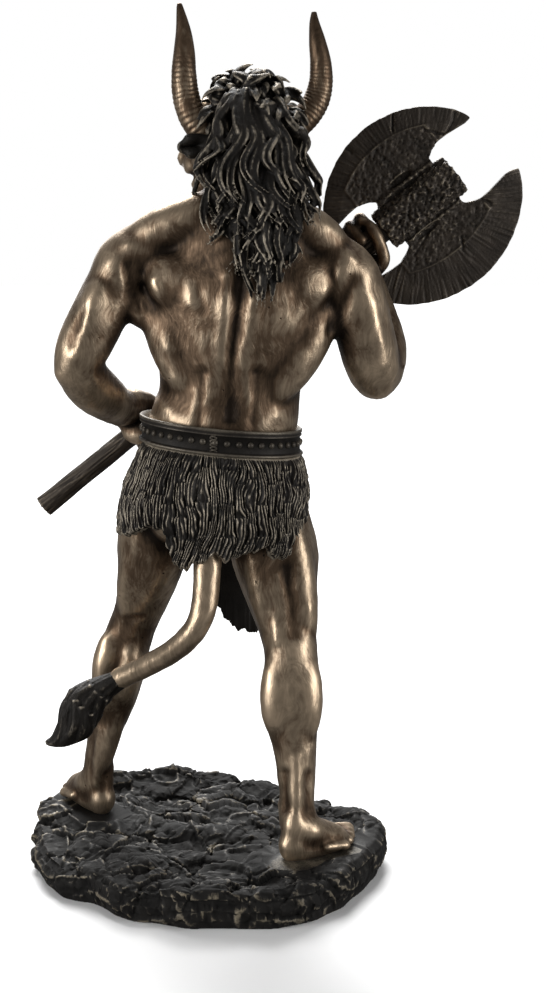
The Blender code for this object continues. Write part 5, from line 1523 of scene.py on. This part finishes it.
def dimmed_top_edges(mesh):
    """Dims the pale edges of the rock where its faces look upwards, less so towards its left, so that they stay on its
    sides and its left and its top stays dark.
    """
    points, normals = coordinates(mesh), coordinates(mesh, "normals")
    layer = mesh.attributes["relief_edge"]
    values = np.empty(len(points), np.float32)
    layer.data.foreach_get("value", values)
    top = np.clip(normals[:, 2] - 0.3, 0, 1)
    values -= top * (0.50 - 0.35 * np.clip(points[:, 0] / 0.05, 0, 1))
    layer.data.foreach_set("value", values)
    return mesh




# Finishes


class Finish:
    """A material built node by node, over a Principled shader."""

    def __init__(self, name, metallic, coat=0.0):
        self.material = bpy.data.materials.new(name)
        self.material.use_nodes = True
        self.tree = self.material.node_tree
        self.shader = self.tree.nodes["Principled BSDF"]
        self.shader.inputs["Metallic"].default_value = metallic
        self.shader.inputs["Specular IOR Level"].default_value = 0.3
        self.shader.inputs["Coat Weight"].default_value = coat
        self.shader.inputs["Coat Roughness"].default_value = 0.35
        self.spot = self.tree.nodes.new("ShaderNodeTexCoord").outputs["Object"]

    def join(self, value, socket):
        if isinstance(value, bpy.types.NodeSocket):
            self.tree.links.new(value, socket)
        else:
            socket.default_value = value

    def relief(self, name):
        node = self.tree.nodes.new("ShaderNodeAttribute")
        node.attribute_name = name
        return node.outputs["Fac"]

    def sum(self, kind, a, b=0.0, clamp=False):
        node = self.tree.nodes.new("ShaderNodeMath")
        node.operation = kind
        node.use_clamp = clamp
        self.join(a, node.inputs[0])
        self.join(b, node.inputs[1])
        return node.outputs[0]

    def turned(self, vector, degrees, scale=(1, 1, 1)):
        node = self.tree.nodes.new("ShaderNodeMapping")
        self.join(vector, node.inputs["Vector"])
        node.inputs["Rotation"].default_value = [math.radians(d) for d in degrees]
        node.inputs["Scale"].default_value = scale
        return node.outputs["Vector"]

    def swayed(self, size, reach):
        """The object's own coordinates, pushed about by a broad noise."""
        broad = self.tree.nodes.new("ShaderNodeTexNoise")
        self.join(self.spot, broad.inputs["Vector"])
        broad.inputs["Scale"].default_value = 1 / size
        node = self.tree.nodes.new("ShaderNodeVectorMath")
        node.operation = "MULTIPLY_ADD"
        self.join(broad.outputs["Color"], node.inputs[0])
        node.inputs[1].default_value = (reach, reach, reach)
        self.join(self.spot, node.inputs[2])
        return node.outputs[0]

    def noise(self, size, detail=4.0, roughness=0.6, distortion=0.0, along=None):
        node = self.tree.nodes.new("ShaderNodeTexNoise")
        self.join(along if along is not None else self.spot, node.inputs["Vector"])
        node.inputs["Scale"].default_value = 1 / size
        node.inputs["Detail"].default_value = detail
        node.inputs["Roughness"].default_value = roughness
        node.inputs["Distortion"].default_value = distortion
        return node.outputs["Fac"]

    def pits(self, size):
        node = self.tree.nodes.new("ShaderNodeTexVoronoi")
        self.join(self.spot, node.inputs["Vector"])
        node.inputs["Scale"].default_value = 1 / size
        return node.outputs["Distance"]

    def between(self, value, low, high, out_low=0.0, out_high=1.0):
        node = self.tree.nodes.new("ShaderNodeMapRange")
        node.interpolation_type = "SMOOTHSTEP"
        for socket, number in zip(node.inputs[1:5], (low, high, out_low, out_high)):
            socket.default_value = number
        self.join(value, node.inputs[0])
        return node.outputs[0]

    def colours(self, value, stops):
        node = self.tree.nodes.new("ShaderNodeValToRGB")
        self.join(value, node.inputs["Fac"])
        ramp = node.color_ramp
        while len(ramp.elements) < len(stops):
            ramp.elements.new(0.5)
        for element, (position, colour) in zip(ramp.elements, stops):
            element.position = position
            element.color = (*colour, 1)
        return node.outputs["Color"]

    def mixed(self, amount, a, b, kind="MIX"):
        node = self.tree.nodes.new("ShaderNodeMix")
        node.data_type = "RGBA"
        node.blend_type = kind
        self.join(amount, node.inputs[0])
        self.join(a, node.inputs[6])
        self.join(b, node.inputs[7])
        return node.outputs[2]

    def bumps(self, height, depth, strength=1.0, after=None):
        node = self.tree.nodes.new("ShaderNodeBump")
        node.inputs["Strength"].default_value = strength
        node.inputs["Distance"].default_value = depth
        self.join(height, node.inputs["Height"])
        if after is not None:
            self.join(after, node.inputs["Normal"])
        return node.outputs["Normal"]

    def done(self, colour, roughness, normal):
        self.join(colour, self.shader.inputs["Base Color"])
        self.join(roughness, self.shader.inputs["Roughness"])
        self.join(normal, self.shader.inputs["Normal"])
        return self.material


def toned(colour, share):
    return tuple(c * share for c in colour)


def skin_bronze(settings, name="skin_bronze", shade=0.0):
    """Brown bronze skin: dark in the hollows, rubbed bright where it stands out, with brush marks and small pits."""
    f = Finish(name, 0.88)
    swayed = f.swayed(0.022, 0.016)
    brush = f.noise(0.0011, 3, 0.6, 0.4, along=f.turned(swayed, (0, 28, 0), (1.0, 1.0, 0.16)))
    cross = f.noise(0.0014, 3, 0.6, 0.4, along=f.turned(swayed, (0, -52, 20), (1.0, 1.0, 0.18)))
    cloud = f.noise(0.011, 4, 0.6)
    broad = f.noise(0.030, 2, 0.5)
    speck = f.between(f.pits(0.0075), 0.030, 0.060, 1.0, 0.0)
    # On the body relief_form also holds painted shade and painted highlights, so this value carries them beside the
    # rubbing and the patina of the relief
    rub_and_painted_light = f.sum("ADD", f.sum("MULTIPLY", f.relief("relief_form"), 0.62), 0.42 - shade)
    rub_and_painted_light = f.sum("ADD", rub_and_painted_light, f.sum("MULTIPLY", f.relief("relief_edge"), 0.20))
    rub_and_painted_light = f.sum("ADD", rub_and_painted_light, f.sum("MULTIPLY", f.sum("SUBTRACT", brush, 0.5), 0.46))
    rub_and_painted_light = f.sum("ADD", rub_and_painted_light, f.sum("MULTIPLY", f.sum("SUBTRACT", cross, 0.5), 0.40))
    rub_and_painted_light = f.sum("ADD", rub_and_painted_light, f.sum("MULTIPLY", f.sum("SUBTRACT", cloud, 0.5), 0.60))
    rub_and_painted_light = f.sum("ADD", rub_and_painted_light, f.sum("MULTIPLY", f.sum("SUBTRACT", broad, 0.5), 0.50))
    rub_and_painted_light = f.sum("SUBTRACT", rub_and_painted_light, f.sum("MULTIPLY", speck, 0.40), clamp=True)
    colour = f.colours(rub_and_painted_light, (
        (0.02, tuple(settings.patina)), (0.22, toned(settings.bronze, 0.42)), (0.48, tuple(settings.bronze)),
        (0.74, toned(settings.rubbed, 0.60)), (1.0, tuple(settings.rubbed)),
    ))
    roughness = f.between(rub_and_painted_light, 0.1, 0.9, 0.52, 0.35)
    normal = f.bumps(brush, 0.00013, 0.7)
    normal = f.bumps(cross, 0.00012, 0.6, after=normal)
    normal = f.bumps(f.sum("SUBTRACT", 1.0, speck), 0.00015, 0.8, after=normal)
    return f.done(colour, roughness, normal)


def edged_bronze(name, dark, light, start, full, mask=0.5, grain=0.0008, metallic=0.45, falls=False, dull=0.56):
    """Dark bronze with pale dry-brushed edges, for hair, fur, belt, axe and rock; hair has streaks that fall."""
    f = Finish(name, metallic)
    streaks = f.turned(f.swayed(0.009, 0.006), (0, 0, 0), (1, 1, 0.13)) if falls else None
    fine = f.noise(grain, 4, 0.65, 0.6, along=streaks)
    cloud = f.noise(0.009, 3, 0.55)
    edge = f.sum("ADD", f.relief("relief_edge"), f.sum("MULTIPLY", f.sum("SUBTRACT", fine, 0.5), 0.9))
    edge = f.sum("ADD", edge, f.sum("MULTIPLY", f.sum("SUBTRACT", cloud, mask), 1.1))
    amount = f.between(edge, start, full)
    base = f.colours(f.sum("ADD", f.sum("MULTIPLY", f.relief("relief_edge"), 0.30), cloud), (
        (0.15, toned(dark, 0.35)), (0.50, tuple(dark)), (0.85, toned(dark, 1.7)),
    ))
    colour = f.mixed(amount, base, (*light, 1))
    roughness = f.between(edge, -0.4, full, dull, 0.38)
    normal = f.bumps(fine, 0.00035 if falls else 0.00012, 0.8)
    return f.done(colour, roughness, normal)


# One operator for each piece or group of like pieces


class CarveFlesh(bpy.types.Operator):
    """Carve the body with its head, hands, feet and tail, and set the horns in it"""

    bl_idname = "statue.carve_flesh"
    bl_label = "Body and Horns"

    def execute(self, context):
        settings = context.scene.statue_figure
        finish = skin_bronze(settings)
        body = flesh_mesh(settings)
        mark_relief(body)
        # paints shade and highlights into the body's relief_form at the listed spots
        with_painted_shade_and_light(body)
        add_piece("body", body, finish, "minotaur")
        darker = skin_bronze(settings, "horn_bronze", 0.08)
        for name, rows in zip(("horn_left", "horn_right"), horn_rows()):
            horn = horn_mesh(rows)
            mark_relief(horn, edge_rounds=4, form_rounds=20, edge_size=0.00012)
            add_piece(name, horn, darker, "minotaur")
        return {"FINISHED"}


class CarveHair(bpy.types.Operator):
    """Carve the mane, the curls between the horns and the brush of the tail"""

    bl_idname = "statue.carve_hair"
    bl_label = "Mane and Tail Brush"

    def execute(self, context):
        figure, hair = context.scene.statue_figure, context.scene.statue_hair
        finish = edged_bronze("hair_bronze", hair.dark, hair.light_edge, 0.30, 1.05, grain=0.0007, falls=True)
        ears = ears_mesh(figure.flesh_voxel * 0.7)
        mark_relief(ears)
        add_piece("ears", ears, finish, "minotaur")
        for name, bm in (("mane", hair_mesh(figure, hair)), ("tail_brush", tuft_mesh())):
            mesh = carved(bm, figure.hair_voxel, 1, name, figure.piece_triangles)
            mark_relief(mesh, edge_rounds=4, edge_size=0.00013)
            add_piece(name, mesh, finish, "minotaur")
        return {"FINISHED"}


class CarveLoincloth(bpy.types.Operator):
    """Carve the fur loincloth and the studded belt that holds it"""

    bl_idname = "statue.carve_loincloth"
    bl_label = "Loincloth and Belt"

    def execute(self, context):
        hair, cloth = context.scene.statue_hair, context.scene.statue_loincloth
        finish = edged_bronze("fur_bronze", hair.dark, hair.light_edge, 0.45, 1.10)
        fur = fur_mesh(cloth)
        inside = np.arange(len(fur.vertices)) % (cloth.fur_rows + 6) >= cloth.fur_rows
        mark_relief(fur, edge_rounds=5, edge_size=0.00012, plain=inside)
        add_piece("fur_loincloth", fur, finish, "minotaur")
        leather = edged_bronze("belt_bronze", toned(hair.dark, 2.2), toned(hair.light_edge, 0.5), 0.40, 1.4)
        belt = belt_mesh(cloth)
        mark_relief(belt, edge_rounds=4, edge_size=0.00012)
        add_piece("belt", belt, leather, "minotaur")
        return {"FINISHED"}


class ForgeAxe(bpy.types.Operator):
    """Model the axe head and its rough handle"""

    bl_idname = "statue.forge_axe"
    bl_label = "Axe"

    def execute(self, context):
        figure, axe = context.scene.statue_figure, context.scene.statue_axe
        finish = edged_bronze("axe_bronze", axe.colour, (0.22, 0.185, 0.135), 0.35, 1.15)
        head = axe_head_mesh(axe, figure.piece_triangles)
        mark_relief(head, edge_rounds=4, edge_size=0.00014)
        add_piece("axe_head", head, finish, "battle_axe")
        wood = edged_bronze("handle_bronze", axe.colour, (0.16, 0.13, 0.095), 0.30, 1.2)
        handle = handle_mesh()
        mark_relief(handle, edge_rounds=6, edge_size=0.00012)
        add_piece("axe_handle", handle, wood, "battle_axe")
        return {"FINISHED"}


class BreakRock(bpy.types.Operator):
    """Model the rock base with its broken slabs"""

    bl_idname = "statue.break_rock"
    bl_label = "Rock Base"

    def execute(self, context):
        figure, rock = context.scene.statue_figure, context.scene.statue_rock
        finish = edged_bronze("rock_bronze", rock.colour, rock.edge, 0.45, 1.55, grain=0.0006, metallic=0.2, dull=0.85)
        mesh = rock_mesh(rock, figure.piece_triangles)
        mark_relief(mesh, edge_rounds=4, edge_size=0.00017)
        dimmed_top_edges(mesh)
        add_piece("rock", mesh, finish, "rock_base")
        return {"FINISHED"}


class SetStage(bpy.types.Operator):
    """Lay the pale floor, hang the soft boxes and set up the camera"""

    bl_idname = "statue.set_stage"
    bl_label = "Stage"

    def execute(self, context):
        stage = context.scene.statue_stage
        add_floor(stage)
        add_lamps(stage)
        add_surround(stage)
        add_camera()
        context.scene.view_settings.view_transform = "Standard"
        return {"FINISHED"}


def add_floor(stage, half=3.0):
    mesh = bpy.data.meshes.new("floor")
    z = BASE_LOW.z - 0.0001
    mesh.from_pydata([(-half, -half, z), (half, -half, z), (half, half, z), (-half, half, z)], [], [(0, 1, 2, 3)])
    floor = bpy.data.objects.new("floor", mesh)
    bpy.context.scene.collection.objects.link(floor)
    made = bpy.data.materials.new("floor_paper")
    made.use_nodes = True
    shader = made.node_tree.nodes["Principled BSDF"]
    shader.inputs["Base Color"].default_value = (*stage.floor_colour, 1)
    shader.inputs["Roughness"].default_value = 0.9
    shader.inputs["Specular IOR Level"].default_value = 0.0
    shader.inputs["Emission Color"].default_value = (1, 1, 1, 1)
    shader.inputs["Emission Strength"].default_value = stage.floor_glow
    mesh.materials.append(made)
    floor.visible_glossy = False
    floor.visible_diffuse = False


LAMPS = (
    # name, place, width, height, share of the power
    ("key_left", (0.70, 0.44, 0.27), 0.40, 0.60, 1.0),
    ("key_right", (-0.74, 0.36, 0.26), 0.40, 0.60, 0.75),
    ("front", (0.10, -0.80, 0.40), 0.60, 0.60, 0.5),
)
LAMP_AIM = Vector((-0.010, 0.0, 0.150))


def add_lamps(stage):
    for name, spot, width, height, share in LAMPS:
        lamp = bpy.data.lights.new(name, "AREA")
        lamp.shape = "RECTANGLE"
        lamp.size, lamp.size_y = width, height
        lamp.energy = stage.lamp_power * share
        obj = bpy.data.objects.new(name, lamp)
        obj.location = spot
        obj.rotation_euler = (LAMP_AIM - Vector(spot)).to_track_quat("-Z", "Y").to_euler()
        bpy.context.scene.collection.objects.link(obj)
    sky = bpy.data.lights.new("ceiling", "SUN")
    sky.energy, sky.angle = stage.ceiling, math.radians(38)
    above = bpy.data.objects.new("ceiling", sky)
    above.rotation_euler = (math.radians(40), math.radians(8), 0)
    bpy.context.scene.collection.objects.link(above)


def add_surround(stage):
    """White behind the statue where the camera sees it, and a dimmer studio in what the bronze reflects."""
    world = bpy.data.worlds.new("studio")
    world.use_nodes = True
    nodes, links = world.node_tree.nodes, world.node_tree.links
    dim = nodes["Background"]
    dim.inputs["Color"].default_value = (1, 1, 1, 1)
    dim.inputs["Strength"].default_value = stage.surround
    white = nodes.new("ShaderNodeBackground")
    white.inputs["Color"].default_value = (1, 1, 1, 1)
    mix, path = nodes.new("ShaderNodeMixShader"), nodes.new("ShaderNodeLightPath")
    links.new(path.outputs["Is Camera Ray"], mix.inputs[0])
    links.new(dim.outputs[0], mix.inputs[1])
    links.new(white.outputs[0], mix.inputs[2])
    links.new(mix.outputs[0], nodes["World Output"].inputs["Surface"])
    bpy.context.scene.world = world


CAMERA_PLACE = (-0.0237, 0.600, 0.248)
CAMERA_PITCH = math.radians(10.7)
FOCAL_LENGTH = 64.17


def add_camera():
    camera = bpy.data.cameras.new("camera")
    camera.lens = FOCAL_LENGTH
    camera.clip_start = 0.01
    obj = bpy.data.objects.new("camera", camera)
    obj.location = CAMERA_PLACE
    obj.rotation_euler = (math.pi / 2 - CAMERA_PITCH, 0, math.pi)
    bpy.context.scene.collection.objects.link(obj)
    bpy.context.scene.camera = obj


class StatuePanel(bpy.types.Panel):
    bl_idname = "VIEW3D_PT_statue"
    bl_label = "Minotaur Statue"
    bl_space_type = "VIEW_3D"
    bl_region_type = "UI"
    bl_category = "Statue"

    def draw(self, context):
        for kind in OPERATORS:
            self.layout.operator(kind.bl_idname)
        for name, kind in SETTINGS.items():
            box = self.layout.box()
            for prop in kind.__annotations__:
                box.prop(getattr(context.scene, name), prop)


OPERATORS = (CarveFlesh, CarveHair, CarveLoincloth, ForgeAxe, BreakRock, SetStage)


def register():
    for kind in (*SETTINGS.values(), *OPERATORS, StatuePanel):
        bpy.utils.register_class(kind)
    for name, kind in SETTINGS.items():
        setattr(bpy.types.Scene, name, PointerProperty(type=kind))


def unregister():
    for name in SETTINGS:
        delattr(bpy.types.Scene, name)
    for kind in reversed((*SETTINGS.values(), *OPERATORS, StatuePanel)):
        bpy.utils.unregister_class(kind)


def main():
    register()
    bpy.ops.statue.carve_flesh()
    bpy.ops.statue.carve_hair()
    bpy.ops.statue.carve_loincloth()
    bpy.ops.statue.forge_axe()
    bpy.ops.statue.break_rock()
    bpy.ops.statue.set_stage()


if __name__ == "__main__":
    main()
